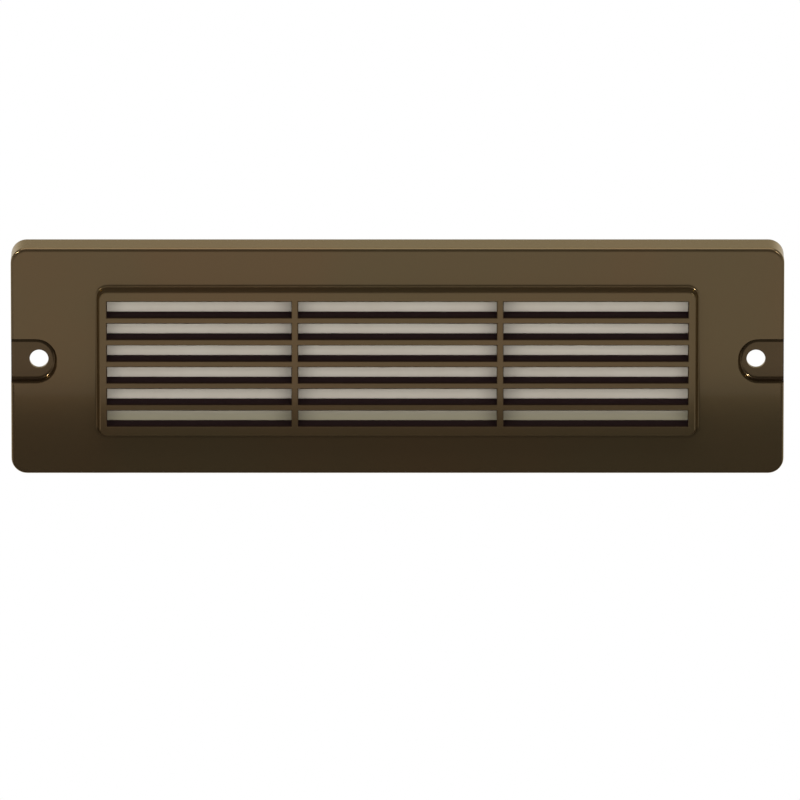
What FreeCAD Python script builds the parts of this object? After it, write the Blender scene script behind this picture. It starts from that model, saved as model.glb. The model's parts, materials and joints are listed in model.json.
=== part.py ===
import FreeCAD, Part

import math
import os

import Sketcher

# A louvred step light. The cover is one casting that two screws hold to a wall or riser. A narrower lamp
# housing is fixed to the cover's back and goes into a slot in the wall. Everything is in millimetres.
#
# Frame: X runs along the cover, Z up, and the front faces -Y. The origin lies midway between the two wall
# screws, in the plane of the pocket floors that their heads seat on. "Forward" below is the distance in
# front of the wall's surface, so it is negative inside the wall.

SIZES = {
    # The cover's plate and skirt
    "end_margin": 23.25,
    "screw_channel": 8.09,
    "skirt_depth": 11.3,
    "skirt_wall": 2.5,
    "face_wall": 2.5,
    "corner_radius": 4.5,
    "edge_round": 1.1,
    # The raised louvre panel
    "panel_side_rim": 2.85,
    "panel_top_rim": 3.64,
    "panel_proud": 3.8,
    "panel_radius": 3.0,
    "panel_draft": 12.0,
    "panel_root_round": 0.9,
    "mouth_chamfer": 0.22,
    "slot_rows": 6,
    "slot_height": 4.7,
    "slot_pitch": 6.425,
    "slot_side_width": 53.0,
    "slot_centre_width": 57.0,
    "mullion_width": 1.95,
    "slat_depth": 7.8,
    # The screw pockets and their holes
    "pocket_height": 13.1,
    "pocket_length": 13.2,
    "pocket_depth": 3.0,
    "pocket_radius": 6.0,
    "pocket_slope": 12.0,
    "pocket_floor_round": 1.2,
    "pocket_floor": 1.6,
    "pocket_wall": 2.0,
    "wall_hole_radius": 2.7,
    "wall_hole_inset": 8.0,
    # The lens and its seat
    "lens_overlap": 1.9,
    "lens_thickness": 4.0,
    "lens_radius": 2.0,
    "lens_clearance": 0.4,
    "lens_gasket_thickness": 0.5,
    "lens_gasket_relief": 0.2,
    "frame_wall": 2.0,
    # The housing, its flange and its screws
    "housing_gasket_thickness": 0.8,
    "flange_thickness": 2.0,
    "flange_clearance": 0.6,
    "flange_side": 3.0,
    "housing_width": 168.0,
    "housing_height": 42.0,
    "housing_depth": 46.0,
    "housing_wall": 2.5,
    "housing_radius": 5.0,
    "boss_radius": 3.3,
    "boss_spacing": 140.0,
    "boss_gap": 0.1,
    "pilot_overrun": 0.3,
    "cover_screw_radius": 1.5,
    "cover_screw_length": 8.0,
    "screw_clearance": 0.05,
    "flange_hole_clearance": 0.2,
    "head_radius": 2.75,
    "head_height": 1.5,
    "sink_clearance": 0.1,
    # The reflector and its screws
    "reflector_side_gap": 1.5,
    "reflector_edge_gap": 1.0,
    "reflector_sheet": 0.8,
    "socket_space": 15.5,
    "lip_width": 2.0,
    "trough_straight": 5.0,
    "post_radius": 4.2,
    "post_side_inset": 6.0,
    "post_edge_inset": 4.5,
    "reflector_screw_radius": 1.2,
    "reflector_screw_length": 8.0,
    "reflector_head_radius": 2.3,
    "reflector_head_height": 1.4,
    # The lamps
    "lamp_axis_depth": 9.5,
    "lamp_radius": 7.75,
    "lamp_length": 29.0,
    "lamp_wall": 0.8,
    "lamp_shoulder": 2.6,
    "lamp_shoulder_radius": 5.6,
    "lamp_dome": 3.4,
    "lamp_dome_radius": 4.2,
    "pinch_width": 9.5,
    "pinch_thickness": 2.5,
    "pinch_length": 8.0,
    "lamp_gap": 0.1,
    "filament_reach": 14.0,
    "filament_half_span": 2.6,
    "lead_in_radius": 0.3,
    "coil_radius": 0.55,
    # The lamp sockets
    "snout_radius": 6.7,
    "snout_length": 3.0,
    "snout_clearance": 0.1,
    "socket_flange_radius": 8.5,
    "socket_flange_thickness": 2.0,
    "socket_body_width": 13.0,
    "socket_body_height": 10.0,
    "socket_body_length": 9.0,
    "socket_slot_clearance": 0.3,
    "contact_space": 1.5,
    "contact_width": 4.0,
    "contact_sheet": 0.4,
    "contact_clearance": 0.05,
    "lead_block_setback": 1.0,
    "lead_block_length": 6.0,
    "lead_block_width": 12.0,
    "lead_block_height": 8.5,
    # The internal leads and the terminal block
    "lead_radius": 0.9,
    "lead_pitch": 8.0,
    "lead_below_top": 5.5,
    "lead_bend_radius": 7.0,
    "block_length": 24.0,
    "block_width": 19.0,
    "block_top_depth": 28.5,
    "sleeve_side": 4.0,
    "sleeve_length": 20.0,
    "sleeve_clearance": 0.05,
    "clamp_screw_radius": 1.4,
    "clamp_screw_pitch": 11.0,
    "clamp_screw_sink": 0.5,
    "driver_slot_width": 0.6,
    "driver_slot_depth": 0.8,
    "block_screw_radius": 1.4,
    "block_screw_head_radius": 2.6,
    "block_screw_head_height": 1.8,
    "block_screw_grip": 2.0,
    # The cable gland in the housing's hub
    "hub_offset": -45.0,
    "hub_radius": 15.0,
    "hub_height": 6.0,
    "spigot_radius": 10.0,
    "spigot_length": 7.0,
    "spigot_clearance": 0.05,
    "gland_washer_thickness": 1.5,
    "gland_washer_radius": 13.5,
    "gland_flats": 24.0,
    "gland_hex_height": 6.0,
    "gland_barrel_height": 7.5,
    "seal_radius": 7.0,
    "seal_length": 10.0,
    "cable_radius": 3.5,
    "gland_bore_radius": 5.5,
    "gland_nut_height": 11.0,
    "gland_nut_gap": 0.4,
    "gland_nut_round": 1.2,
}

# How far a cut runs past the face that it opens.
PAST = 1.0
# The cross recess of a screw, as shares of its head.
RECESS_REACH = 0.55
RECESS_BLADE = 0.18
RECESS_DEPTH = 0.55
# A pan head's top, as a share of its foot.
PAN_TOP = 0.78
# How far back a lamp contact starts behind its socket's mouth, as a share of its length.
CONTACT_LIP = 0.1
# A bend in a lead has this many straight-sided spans.
BEND_SPANS = 3
# The pieces of a lead may add up to this much more or less than a smooth one.
LEAD_TOLERANCE = 0.02

doc = FreeCAD.newDocument("step_light")
sheet = doc.addObject("Spreadsheet::Sheet", "Sizes")
for row, (alias, value) in enumerate(SIZES.items(), start=1):
    sheet.set(f"A{row}", alias)
    sheet.set(f"B{row}", str(value))
    sheet.setAlias(f"B{row}", alias)
doc.recompute()

pieces = []


def cell(alias):
    return f"Sizes.{alias}"


def number(expression):
    """The value that an expression on the sheet has now."""
    return float(sheet.evalExpression(f"({expression}) * 1"))


# Planes, as distances forward of the wall's surface.
FACE = cell("skirt_depth")
FACE_BACK = f"({FACE} - Sizes.face_wall)"
PANEL_FRONT = f"({FACE} + Sizes.panel_proud)"
LEDGE = f"({PANEL_FRONT} - Sizes.slat_depth)"
LENS_FRONT = f"({LEDGE} - Sizes.lens_gasket_thickness)"
LENS_REAR = f"({LENS_FRONT} - Sizes.lens_thickness)"
FLANGE_FRONT = f"({LENS_REAR} - Sizes.housing_gasket_thickness)"
FLANGE_REAR = f"({FLANGE_FRONT} - Sizes.flange_thickness)"
POCKET_FLOOR = f"({FACE} - Sizes.pocket_depth)"
LIP_REAR = f"({FLANGE_REAR} - Sizes.reflector_sheet)"
HOUSING_BACK = f"({FLANGE_REAR} - Sizes.housing_depth)"
HOUSING_FLOOR = f"({HOUSING_BACK} + Sizes.housing_wall)"
HUB_FACE = f"({HOUSING_BACK} - Sizes.hub_height)"
LAMP_AXIS = f"({FLANGE_REAR} - Sizes.lamp_axis_depth)"
BLOCK_TOP = f"({FLANGE_REAR} - Sizes.block_top_depth)"
LEAD_PLANE = f"({BLOCK_TOP} - Sizes.lead_below_top)"

# Outlines that several pieces share.
FIELD_WIDTH = "(2 * Sizes.slot_side_width + Sizes.slot_centre_width + 2 * Sizes.mullion_width)"
FIELD_HEIGHT = "((Sizes.slot_rows - 1) * Sizes.slot_pitch + Sizes.slot_height)"
LENS_WIDTH = f"({FIELD_WIDTH} + 2 * Sizes.lens_overlap)"
LENS_HEIGHT = f"({FIELD_HEIGHT} + 2 * Sizes.lens_overlap)"
SEAT_WIDTH = f"({LENS_WIDTH} + 2 * Sizes.lens_clearance)"
SEAT_HEIGHT = f"({LENS_HEIGHT} + 2 * Sizes.lens_clearance)"
SEAT_RADIUS = "(Sizes.lens_radius + Sizes.lens_clearance)"
FRAME_WIDTH = f"({SEAT_WIDTH} + 2 * Sizes.frame_wall)"
FRAME_HEIGHT = f"({SEAT_HEIGHT} + 2 * Sizes.frame_wall)"
FRAME_RADIUS = f"({SEAT_RADIUS} + Sizes.frame_wall)"
COVER_WIDTH = f"({FRAME_WIDTH} + 2 * Sizes.end_margin)"
INNER_WIDTH = f"({COVER_WIDTH} - 2 * Sizes.skirt_wall)"
INNER_HEIGHT = f"({FRAME_HEIGHT} + 2 * Sizes.screw_channel)"
COVER_HEIGHT = f"({INNER_HEIGHT} + 2 * Sizes.skirt_wall)"
PANEL_WIDTH = f"({FIELD_WIDTH} + 2 * Sizes.panel_side_rim)"
PANEL_HEIGHT = f"({FIELD_HEIGHT} + 2 * Sizes.panel_top_rim)"
INNER_RADIUS = "(Sizes.corner_radius - Sizes.skirt_wall)"
FLANGE_WIDTH = f"({FRAME_WIDTH} + Sizes.flange_side)"
FLANGE_HEIGHT = f"({INNER_HEIGHT} - 2 * Sizes.flange_clearance)"
HOLLOW_WIDTH = "(Sizes.housing_width - 2 * Sizes.housing_wall)"
HOLLOW_HEIGHT = "(Sizes.housing_height - 2 * Sizes.housing_wall)"
HOLLOW_RADIUS = "(Sizes.housing_radius - Sizes.housing_wall)"
BOSS_X = "(Sizes.boss_spacing / 2)"
BOSS_Z = f"(({FRAME_HEIGHT} + {INNER_HEIGHT}) / 4)"
REFLECTOR_WIDTH = f"({HOLLOW_WIDTH} - 2 * Sizes.reflector_side_gap)"
REFLECTOR_HEIGHT = f"({HOLLOW_HEIGHT} - 2 * Sizes.reflector_edge_gap)"
TROUGH_HALF = f"({REFLECTOR_HEIGHT} / 2 - Sizes.lip_width)"
POST_X = f"({HOLLOW_WIDTH} / 2 - Sizes.post_side_inset)"
POST_Z = f"({HOLLOW_HEIGHT} / 2 - Sizes.post_edge_inset)"
TROUGH_LENGTH = f"({HOLLOW_WIDTH} - 2 * Sizes.socket_space)"
WALL_HOLE_X = f"({COVER_WIDTH} / 2 - Sizes.wall_hole_inset)"
SNOUT_FACE_X = f"({TROUGH_LENGTH} / 2 - Sizes.reflector_sheet - Sizes.snout_length)"
PLACES = [(side, level) for side in (-1, 1) for level in (-1, 1)]


# ---------------------------------------------------------------------------------------------------------
# Sketches and features
# ---------------------------------------------------------------------------------------------------------


def plane_y(forward):
    """The Y of a plane that lies so far forward of the wall."""
    return number(f"{POCKET_FLOOR} - {forward}")


def new_body(label):
    body = doc.addObject("PartDesign::Body", label)
    body.Label = label
    pieces.append(body)
    return body


def new_sketch(body, role, offset):
    sketch = body.newObject("Sketcher::SketchObject", f"{body.Name}_sketch")
    plane = next(item for item in body.Origin.OriginFeatures if item.Role == role)
    sketch.AttachmentSupport = [(plane, "")]
    sketch.MapMode = "FlatFace"
    sketch.setExpression("AttachmentOffset.Base.z", offset)
    return sketch


def front_sketch(body, forward):
    """A sketch parallel to the wall. Its X and Y are the row's X and Z, and it looks forward."""
    return new_sketch(body, "XZ_Plane", f"{forward} - {POCKET_FLOOR}")


def bind(sketch, kind, geometry, point, expression):
    """Hold a point's distance from the origin, along one axis, to an expression."""
    value = number(expression)
    if abs(value) < 1e-9:
        axis = -2 if kind == "DistanceX" else -1
        sketch.addConstraint(Sketcher.Constraint("PointOnObject", geometry, point, axis))
        return
    index = sketch.addConstraint(Sketcher.Constraint(kind, geometry, point, value))
    sketch.setExpression(f"Constraints[{index}]", expression)


def add_polygon(sketch, corners):
    """A closed outline through corners that are pairs of expressions."""
    points = [FreeCAD.Vector(number(x), number(y), 0) for x, y in corners]
    first = sketch.GeometryCount
    count = len(points)
    for index, point in enumerate(points):
        sketch.addGeometry(Part.LineSegment(point, points[(index + 1) % count]))
    for index in range(count):
        following = first + (index + 1) % count
        sketch.addConstraint(Sketcher.Constraint("Coincident", first + index, 2, following, 1))
    for index, (x, y) in enumerate(corners):
        bind(sketch, "DistanceX", first + index, 1, x)
        bind(sketch, "DistanceY", first + index, 1, y)


def add_rectangle(sketch, left, right, bottom, top):
    add_polygon(sketch, [(left, bottom), (right, bottom), (right, top), (left, top)])


def add_round_rectangle(sketch, width, height, radius, centre=("0", "0")):
    """A rectangle with four equal corner arcs."""
    half_w, half_h, r = number(width) / 2, number(height) / 2, number(radius)
    cx, cy = number(centre[0]), number(centre[1])
    first = sketch.GeometryCount
    turns = [(1, -1, 270), (1, 1, 0), (-1, 1, 90), (-1, -1, 180)]
    arcs = []
    for side, level, start in turns:
        middle = FreeCAD.Vector(cx + side * (half_w - r), cy + level * (half_h - r), 0)
        circle = Part.Circle(middle, FreeCAD.Vector(0, 0, 1), r)
        arcs.append(Part.ArcOfCircle(circle, math.radians(start), math.radians(start + 90)))
    for arc in arcs:
        sketch.addGeometry(arc)
    for index in range(4):
        arc, following = arcs[index], arcs[(index + 1) % 4]
        sketch.addGeometry(Part.LineSegment(arc.EndPoint, following.StartPoint))
    for index in range(4):
        line = first + 4 + index
        sketch.addConstraint(Sketcher.Constraint("Tangent", first + index, 2, line, 1))
        sketch.addConstraint(Sketcher.Constraint("Tangent", line, 2, first + (index + 1) % 4, 1))
        direction = "Vertical" if index in (0, 2) else "Horizontal"
        sketch.addConstraint(Sketcher.Constraint(direction, line))
    for index in range(1, 4):
        sketch.addConstraint(Sketcher.Constraint("Equal", first, first + index))
    index = sketch.addConstraint(Sketcher.Constraint("Radius", first, r))
    sketch.setExpression(f"Constraints[{index}]", radius)
    bind(sketch, "DistanceX", first + 4, 1, f"{centre[0]} + {width} / 2")
    bind(sketch, "DistanceX", first + 6, 1, f"{centre[0]} - {width} / 2")
    bind(sketch, "DistanceY", first + 5, 1, f"{centre[1]} + {height} / 2")
    bind(sketch, "DistanceY", first + 7, 1, f"{centre[1]} - {height} / 2")


def add_circle(sketch, x, y, radius):
    centre = FreeCAD.Vector(number(x), number(y), 0)
    circle = sketch.addGeometry(Part.Circle(centre, FreeCAD.Vector(0, 0, 1), number(radius)))
    bind(sketch, "DistanceX", circle, 3, x)
    bind(sketch, "DistanceY", circle, 3, y)
    index = sketch.addConstraint(Sketcher.Constraint("Radius", circle, number(radius)))
    sketch.setExpression(f"Constraints[{index}]", radius)


def add_hexagon(sketch, flats):
    """A hexagon with two level flats, sized across its flats."""
    across = f"({flats} / 2)"
    reach = f"({flats} / {math.sqrt(3):.9f})"
    corners = [
        (reach, "0"),
        (f"{reach} / 2", across),
        (f"-{reach} / 2", across),
        (f"-{reach}", "0"),
        (f"-{reach} / 2", f"-{across}"),
        (f"{reach} / 2", f"-{across}"),
    ]
    add_polygon(sketch, corners)


def settle(body, feature, grows):
    """Recompute, and make sure that the feature added or cut what it should."""
    earlier = body.Group[: body.Group.index(feature)]
    solids = [item for item in earlier if not item.isDerivedFrom("Sketcher::SketchObject")]
    before = solids[-1].Shape.Volume if solids else 0.0
    body.Tip = feature
    doc.recompute()
    change = feature.Shape.Volume - before
    if (change > 0) != grows or abs(change) < 1e-6:
        raise RuntimeError(f"{feature.Name} changed the volume by {change:.4f}")


def extrude(body, sketch, kind, length, backward=False, taper=None):
    feature = body.newObject(f"PartDesign::{kind}", f"{body.Name}_{kind.lower()}")
    feature.Profile = sketch
    feature.setExpression("Length", length)
    if taper:
        feature.setExpression("TaperAngle", taper)
    feature.Reversed = backward if kind == "Pad" else not backward
    settle(body, feature, kind == "Pad")
    return feature


def pad(body, sketch, length, backward=False, taper=None):
    return extrude(body, sketch, "Pad", length, backward, taper)


def pocket(body, sketch, length, backward=False, taper=None):
    return extrude(body, sketch, "Pocket", length, backward, taper)


def dress_edges(body, kind, size, chosen, grows=False):
    """A Fillet or a Chamfer on the edges of the body's tip that the chosen test picks."""
    base = body.Tip
    names = [f"Edge{index}" for index, edge in enumerate(base.Shape.Edges, start=1) if chosen(edge)]
    if not names:
        raise RuntimeError(f"{body.Label} has no edge for its {kind}")
    dressing = body.newObject(f"PartDesign::{kind}", f"{body.Name}_{kind.lower()}")
    dressing.Base = (base, names)
    dressing.setExpression("Radius" if kind == "Fillet" else "Size", size)
    settle(body, dressing, grows)
    return dressing


def revolve_profile(body, corners):
    """Turn an outline, given as (x, radius) pairs of expressions, about the body's own X axis."""
    sketch = new_sketch(body, "XY_Plane", "0")
    add_polygon(sketch, corners)
    turned = body.newObject("PartDesign::Revolution", f"{body.Name}_revolution")
    turned.Profile = sketch
    turned.ReferenceAxis = (sketch, ["H_Axis"])
    turned.Angle = 360
    settle(body, turned, True)
    return turned


def add_feature(label, shape):
    feature = doc.addObject("Part::Feature", label)
    feature.Label = label
    feature.Shape = shape
    pieces.append(feature)
    return feature


# ---------------------------------------------------------------------------------------------------------
# The cover
# ---------------------------------------------------------------------------------------------------------


def lies_flat(edge, level):
    """Does the edge lie in the plane of that Y?"""
    box = edge.BoundBox
    return abs(box.YMin - level) < 1e-4 and box.YLength < 1e-4


def extent(edge):
    """How far the edge gets from the middle, sideways and up or down."""
    box = edge.BoundBox
    return max(abs(box.XMin), abs(box.XMax)), max(abs(box.ZMin), abs(box.ZMax))


def make_cover():
    body = new_body("cover")
    plate = front_sketch(body, "0")
    add_round_rectangle(plate, COVER_WIDTH, COVER_HEIGHT, cell("corner_radius"))
    pad(body, plate, FACE)
    face_y = plane_y(FACE)
    dress_edges(body, "Fillet", cell("edge_round"), lambda edge: lies_flat(edge, face_y))
    hollow = front_sketch(body, "0")
    add_round_rectangle(hollow, INNER_WIDTH, INNER_HEIGHT, INNER_RADIUS)
    pocket(body, hollow, FACE_BACK)

    # The louvre panel stands proud of the face, with drafted walls and a soft root.
    panel = front_sketch(body, FACE)
    add_round_rectangle(panel, PANEL_WIDTH, PANEL_HEIGHT, cell("panel_radius"))
    pad(body, panel, cell("panel_proud"), taper="-Sizes.panel_draft")
    half_w, half_h = number(f"{PANEL_WIDTH} / 2"), number(f"{PANEL_HEIGHT} / 2")

    def on_root(edge):
        across, high = extent(edge)
        return lies_flat(edge, face_y) and across < half_w + PAST and high < half_h + PAST

    dress_edges(body, "Fillet", cell("panel_root_round"), on_root, grows=True)

    # Behind the face the panel goes on as a frame, with a rebate that holds the lens.
    frame = front_sketch(body, LENS_REAR)
    add_round_rectangle(frame, FRAME_WIDTH, FRAME_HEIGHT, FRAME_RADIUS)
    pad(body, frame, f"{FACE_BACK} - {LENS_REAR}")
    seat = front_sketch(body, LENS_REAR)
    add_round_rectangle(seat, SEAT_WIDTH, SEAT_HEIGHT, SEAT_RADIUS)
    pocket(body, seat, f"{LEDGE} - {LENS_REAR}")

    # One row of three slots, repeated up the panel. All the front edges are broken by a small chamfer.
    slots = front_sketch(body, LEDGE)
    column = "(Sizes.slot_centre_width / 2)"
    inner = f"({column} + Sizes.mullion_width)"
    bottom = f"(-{FIELD_HEIGHT} / 2)"
    top = f"({bottom} + Sizes.slot_height)"
    add_rectangle(slots, f"-{FIELD_WIDTH} / 2", f"-{inner}", bottom, top)
    add_rectangle(slots, f"-{column}", column, bottom, top)
    add_rectangle(slots, inner, f"{FIELD_WIDTH} / 2", bottom, top)
    row_cut = pocket(body, slots, f"{PANEL_FRONT} - {LEDGE} + {PAST}")
    rows = body.newObject("PartDesign::LinearPattern", "cover_rows")
    rows.Originals = [row_cut]
    rows.Direction = (slots, ["V_Axis"])
    rows.setExpression("Length", "(Sizes.slot_rows - 1) * Sizes.slot_pitch")
    rows.setExpression("Occurrences", cell("slot_rows"))
    settle(body, rows, False)
    panel_y = plane_y(PANEL_FRONT)
    dress_edges(body, "Chamfer", cell("mouth_chamfer"), lambda edge: lies_flat(edge, panel_y))

    # Bosses for the housing's screws, between the lens frame and the skirt.
    boss_rear = f"({FLANGE_FRONT} + Sizes.boss_gap)"
    bosses = front_sketch(body, boss_rear)
    pilots = front_sketch(body, boss_rear)
    for side, level in PLACES:
        spot = (f"{side} * {BOSS_X}", f"{level} * {BOSS_Z}")
        add_circle(bosses, *spot, cell("boss_radius"))
        add_circle(pilots, *spot, "(Sizes.cover_screw_radius + Sizes.screw_clearance)")
    pad(body, bosses, f"{FACE_BACK} - {boss_rear}")
    pilot_end = f"({FLANGE_REAR} + Sizes.cover_screw_length + Sizes.pilot_overrun)"
    pocket(body, pilots, f"{pilot_end} - {boss_rear}")

    # A cup behind the face at each end, and the U-shaped pocket with its screw hole cut into it.
    inner_end = f"({COVER_WIDTH} / 2 - Sizes.pocket_length)"
    cup_start = f"({inner_end} - Sizes.pocket_wall)"
    cup_stop = f"({COVER_WIDTH} / 2 - Sizes.skirt_wall / 2)"
    cup_floor = f"({POCKET_FLOOR} - Sizes.pocket_floor)"
    cups = front_sketch(body, cup_floor)
    half_cup = "(Sizes.pocket_height / 2 + Sizes.pocket_wall)"
    add_rectangle(cups, f"-{cup_stop}", f"-{cup_start}", f"-{half_cup}", half_cup)
    add_rectangle(cups, cup_start, cup_stop, f"-{half_cup}", half_cup)
    pad(body, cups, f"{FACE_BACK} - {cup_floor}")
    # The outline runs past the cover's end by its own length, so only its inner half cuts.
    recess_width = "(2 * Sizes.pocket_length)"
    for side in (-1, 1):
        recess = front_sketch(body, FACE)
        middle = (f"{side} * ({inner_end} + Sizes.pocket_length)", "0")
        add_round_rectangle(recess, recess_width, cell("pocket_height"), cell("pocket_radius"), middle)
        pocket(body, recess, cell("pocket_depth"), backward=True, taper="-Sizes.pocket_slope")
    floor_y = plane_y(POCKET_FLOOR)
    half_cover, half_pocket = number(f"{COVER_WIDTH} / 2"), number("Sizes.pocket_height / 2")

    def bounds_the_floor(edge):
        middle = edge.CenterOfMass
        at_mouth = abs(abs(middle.x) - half_cover) < PAST
        return lies_flat(edge, floor_y) and abs(middle.z) < half_pocket and not at_mouth

    dress_edges(body, "Fillet", cell("pocket_floor_round"), bounds_the_floor, grows=True)
    holes = front_sketch(body, POCKET_FLOOR)
    for side in (-1, 1):
        add_circle(holes, f"{side} * {WALL_HOLE_X}", "0", cell("wall_hole_radius"))
    pocket(body, holes, f"Sizes.pocket_floor + {PAST}", backward=True)
    return body


def make_plate(label, forward, thickness, outline, opening=None):
    """A flat rounded piece parallel to the wall, with an opening if it is a ring."""
    body = new_body(label)
    sketch = front_sketch(body, forward)
    add_round_rectangle(sketch, *outline)
    if opening:
        add_round_rectangle(sketch, *opening)
    pad(body, sketch, thickness)
    return body


def make_lens():
    make_plate("lens", LENS_REAR, cell("lens_thickness"), (LENS_WIDTH, LENS_HEIGHT, cell("lens_radius")))
    make_plate(
        "lens_gasket",
        LENS_FRONT,
        cell("lens_gasket_thickness"),
        (LENS_WIDTH, LENS_HEIGHT, cell("lens_radius")),
        (
            f"({FIELD_WIDTH} + 2 * Sizes.lens_gasket_relief)",
            f"({FIELD_HEIGHT} + 2 * Sizes.lens_gasket_relief)",
            "(Sizes.lens_radius / 2)",
        ),
    )


# ---------------------------------------------------------------------------------------------------------
# The housing
# ---------------------------------------------------------------------------------------------------------


def make_housing():
    make_plate(
        "housing_gasket",
        FLANGE_FRONT,
        cell("housing_gasket_thickness"),
        (FRAME_WIDTH, FRAME_HEIGHT, FRAME_RADIUS),
        (HOLLOW_WIDTH, HOLLOW_HEIGHT, HOLLOW_RADIUS),
    )
    body = new_body("housing")
    flange = front_sketch(body, FLANGE_REAR)
    add_round_rectangle(flange, FLANGE_WIDTH, FLANGE_HEIGHT, "Sizes.corner_radius")
    pad(body, flange, cell("flange_thickness"))
    shell = front_sketch(body, FLANGE_REAR)
    add_round_rectangle(shell, cell("housing_width"), cell("housing_height"), cell("housing_radius"))
    pad(body, shell, cell("housing_depth"), backward=True)
    hub = front_sketch(body, HOUSING_BACK)
    add_circle(hub, cell("hub_offset"), "0", cell("hub_radius"))
    pad(body, hub, cell("hub_height"), backward=True)
    hollow = front_sketch(body, FLANGE_FRONT)
    add_round_rectangle(hollow, HOLLOW_WIDTH, HOLLOW_HEIGHT, HOLLOW_RADIUS)
    pocket(body, hollow, f"{FLANGE_FRONT} - {HOUSING_FLOOR}", backward=True)

    # Corner posts that carry the reflector, cast into the walls.
    posts = front_sketch(body, HOUSING_FLOOR)
    for side, level in PLACES:
        add_circle(posts, f"{side} * {POST_X}", f"{level} * {POST_Z}", cell("post_radius"))
    pad(body, posts, f"{LIP_REAR} - {HOUSING_FLOOR}")
    pilots = front_sketch(body, LIP_REAR)
    for side, level in PLACES:
        pilot = "(Sizes.reflector_screw_radius + Sizes.screw_clearance)"
        add_circle(pilots, f"{side} * {POST_X}", f"{level} * {POST_Z}", pilot)
    pocket(body, pilots, "Sizes.reflector_screw_length + Sizes.pilot_overrun", backward=True)

    # The threaded hub's bore, the hole under the terminal block and the flange's countersunk holes.
    bore = front_sketch(body, HUB_FACE)
    add_circle(bore, cell("hub_offset"), "0", "(Sizes.spigot_radius + Sizes.spigot_clearance)")
    pocket(body, bore, f"{HOUSING_FLOOR} - {HUB_FACE}")
    anchor = front_sketch(body, HOUSING_FLOOR)
    add_circle(anchor, "0", "0", "(Sizes.block_screw_radius + Sizes.screw_clearance)")
    pocket(body, anchor, "Sizes.block_screw_grip", backward=True)
    clear = "(Sizes.cover_screw_radius + Sizes.flange_hole_clearance)"
    sink = "(Sizes.head_radius + Sizes.sink_clearance)"
    holes = front_sketch(body, FLANGE_REAR)
    sinks = front_sketch(body, FLANGE_REAR)
    for side, level in PLACES:
        add_circle(holes, f"{side} * {BOSS_X}", f"{level} * {BOSS_Z}", clear)
        add_circle(sinks, f"{side} * {BOSS_X}", f"{level} * {BOSS_Z}", sink)
    pocket(body, holes, cell("flange_thickness"))
    slope = f"atan(({sink} - {clear}) / Sizes.head_height)"
    pocket(body, sinks, cell("head_height"), taper=f"-{slope}")
    return body


def screws(label, forward, places, radius, length, head_radius, head_height, countersunk):
    """Identical screws. Forward is the head's seat, and the shank runs the way the sign of length says."""
    solids = []
    seat = plane_y(forward)
    for x, z in places:
        way = FreeCAD.Vector(0, -1 if length > 0 else 1, 0)
        base = FreeCAD.Vector(x, seat, z)
        shank = Part.makeCylinder(radius, abs(length), base, way)
        if countersunk:
            head = Part.makeCone(head_radius, radius, head_height, base, way)
            recess_base = base
        else:
            head = Part.makeCone(head_radius, PAN_TOP * head_radius, head_height, base, way.negative())
            recess_base = base - way * head_height
        solid = shank.fuse(head)
        # A cross recess in the head.
        arm = RECESS_REACH * head_radius
        blade = RECESS_BLADE * head_radius
        depth = RECESS_DEPTH * head_height
        for across, along in ((arm, blade), (blade, arm)):
            corner = FreeCAD.Vector(-across, -depth if way.y < 0 else 0, -along)
            slot = Part.makeBox(2 * across, depth, 2 * along, corner)
            slot.translate(recess_base)
            solid = solid.cut(slot)
        solids.append(solid.removeSplitter())
    return add_feature(label, Part.makeCompound(solids))


def corner_places(x, z):
    return [(side * number(x), level * number(z)) for side, level in PLACES]


def make_housing_screws():
    screws(
        "housing_screws",
        FLANGE_REAR,
        corner_places(BOSS_X, BOSS_Z),
        number("Sizes.cover_screw_radius"),
        number("Sizes.cover_screw_length"),
        number("Sizes.head_radius"),
        number("Sizes.head_height"),
        countersunk=True,
    )
    screws(
        "reflector_screws",
        FLANGE_REAR,
        corner_places(POST_X, POST_Z),
        number("Sizes.reflector_screw_radius"),
        -number("Sizes.reflector_screw_length"),
        number("Sizes.reflector_head_radius"),
        number("Sizes.reflector_head_height"),
        countersunk=False,
    )


# ---------------------------------------------------------------------------------------------------------
# The reflector and the lamps
# ---------------------------------------------------------------------------------------------------------


def add_trough_outline(sketch, half_height, straight, top):
    """A U in the YZ plane: straight walls from the top line, then half a circle at the bottom."""
    r, depth, start = number(half_height), number(straight), number(top)
    centre = FreeCAD.Vector(start + depth, 0, 0)
    circle = Part.Circle(centre, FreeCAD.Vector(0, 0, 1), r)
    lower = FreeCAD.Vector(start, -r, 0)
    upper = FreeCAD.Vector(start, r, 0)
    sketch.addGeometry(Part.LineSegment(upper, lower))
    sketch.addGeometry(Part.LineSegment(lower, centre + FreeCAD.Vector(0, -r, 0)))
    sketch.addGeometry(Part.ArcOfCircle(circle, -math.pi / 2, math.pi / 2))
    sketch.addGeometry(Part.LineSegment(centre + FreeCAD.Vector(0, r, 0), upper))
    sketch.addConstraint(Sketcher.Constraint("Coincident", 0, 2, 1, 1))
    sketch.addConstraint(Sketcher.Constraint("Tangent", 1, 2, 2, 1))
    sketch.addConstraint(Sketcher.Constraint("Tangent", 2, 2, 3, 1))
    sketch.addConstraint(Sketcher.Constraint("Coincident", 3, 2, 0, 1))
    sketch.addConstraint(Sketcher.Constraint("Vertical", 0))
    sketch.addConstraint(Sketcher.Constraint("Horizontal", 1))
    sketch.addConstraint(Sketcher.Constraint("PointOnObject", 2, 3, -1))
    index = sketch.addConstraint(Sketcher.Constraint("Radius", 2, r))
    sketch.setExpression(f"Constraints[{index}]", half_height)
    bind(sketch, "DistanceX", 0, 1, top)
    bind(sketch, "DistanceX", 2, 3, f"{top} + {straight}")


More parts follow.
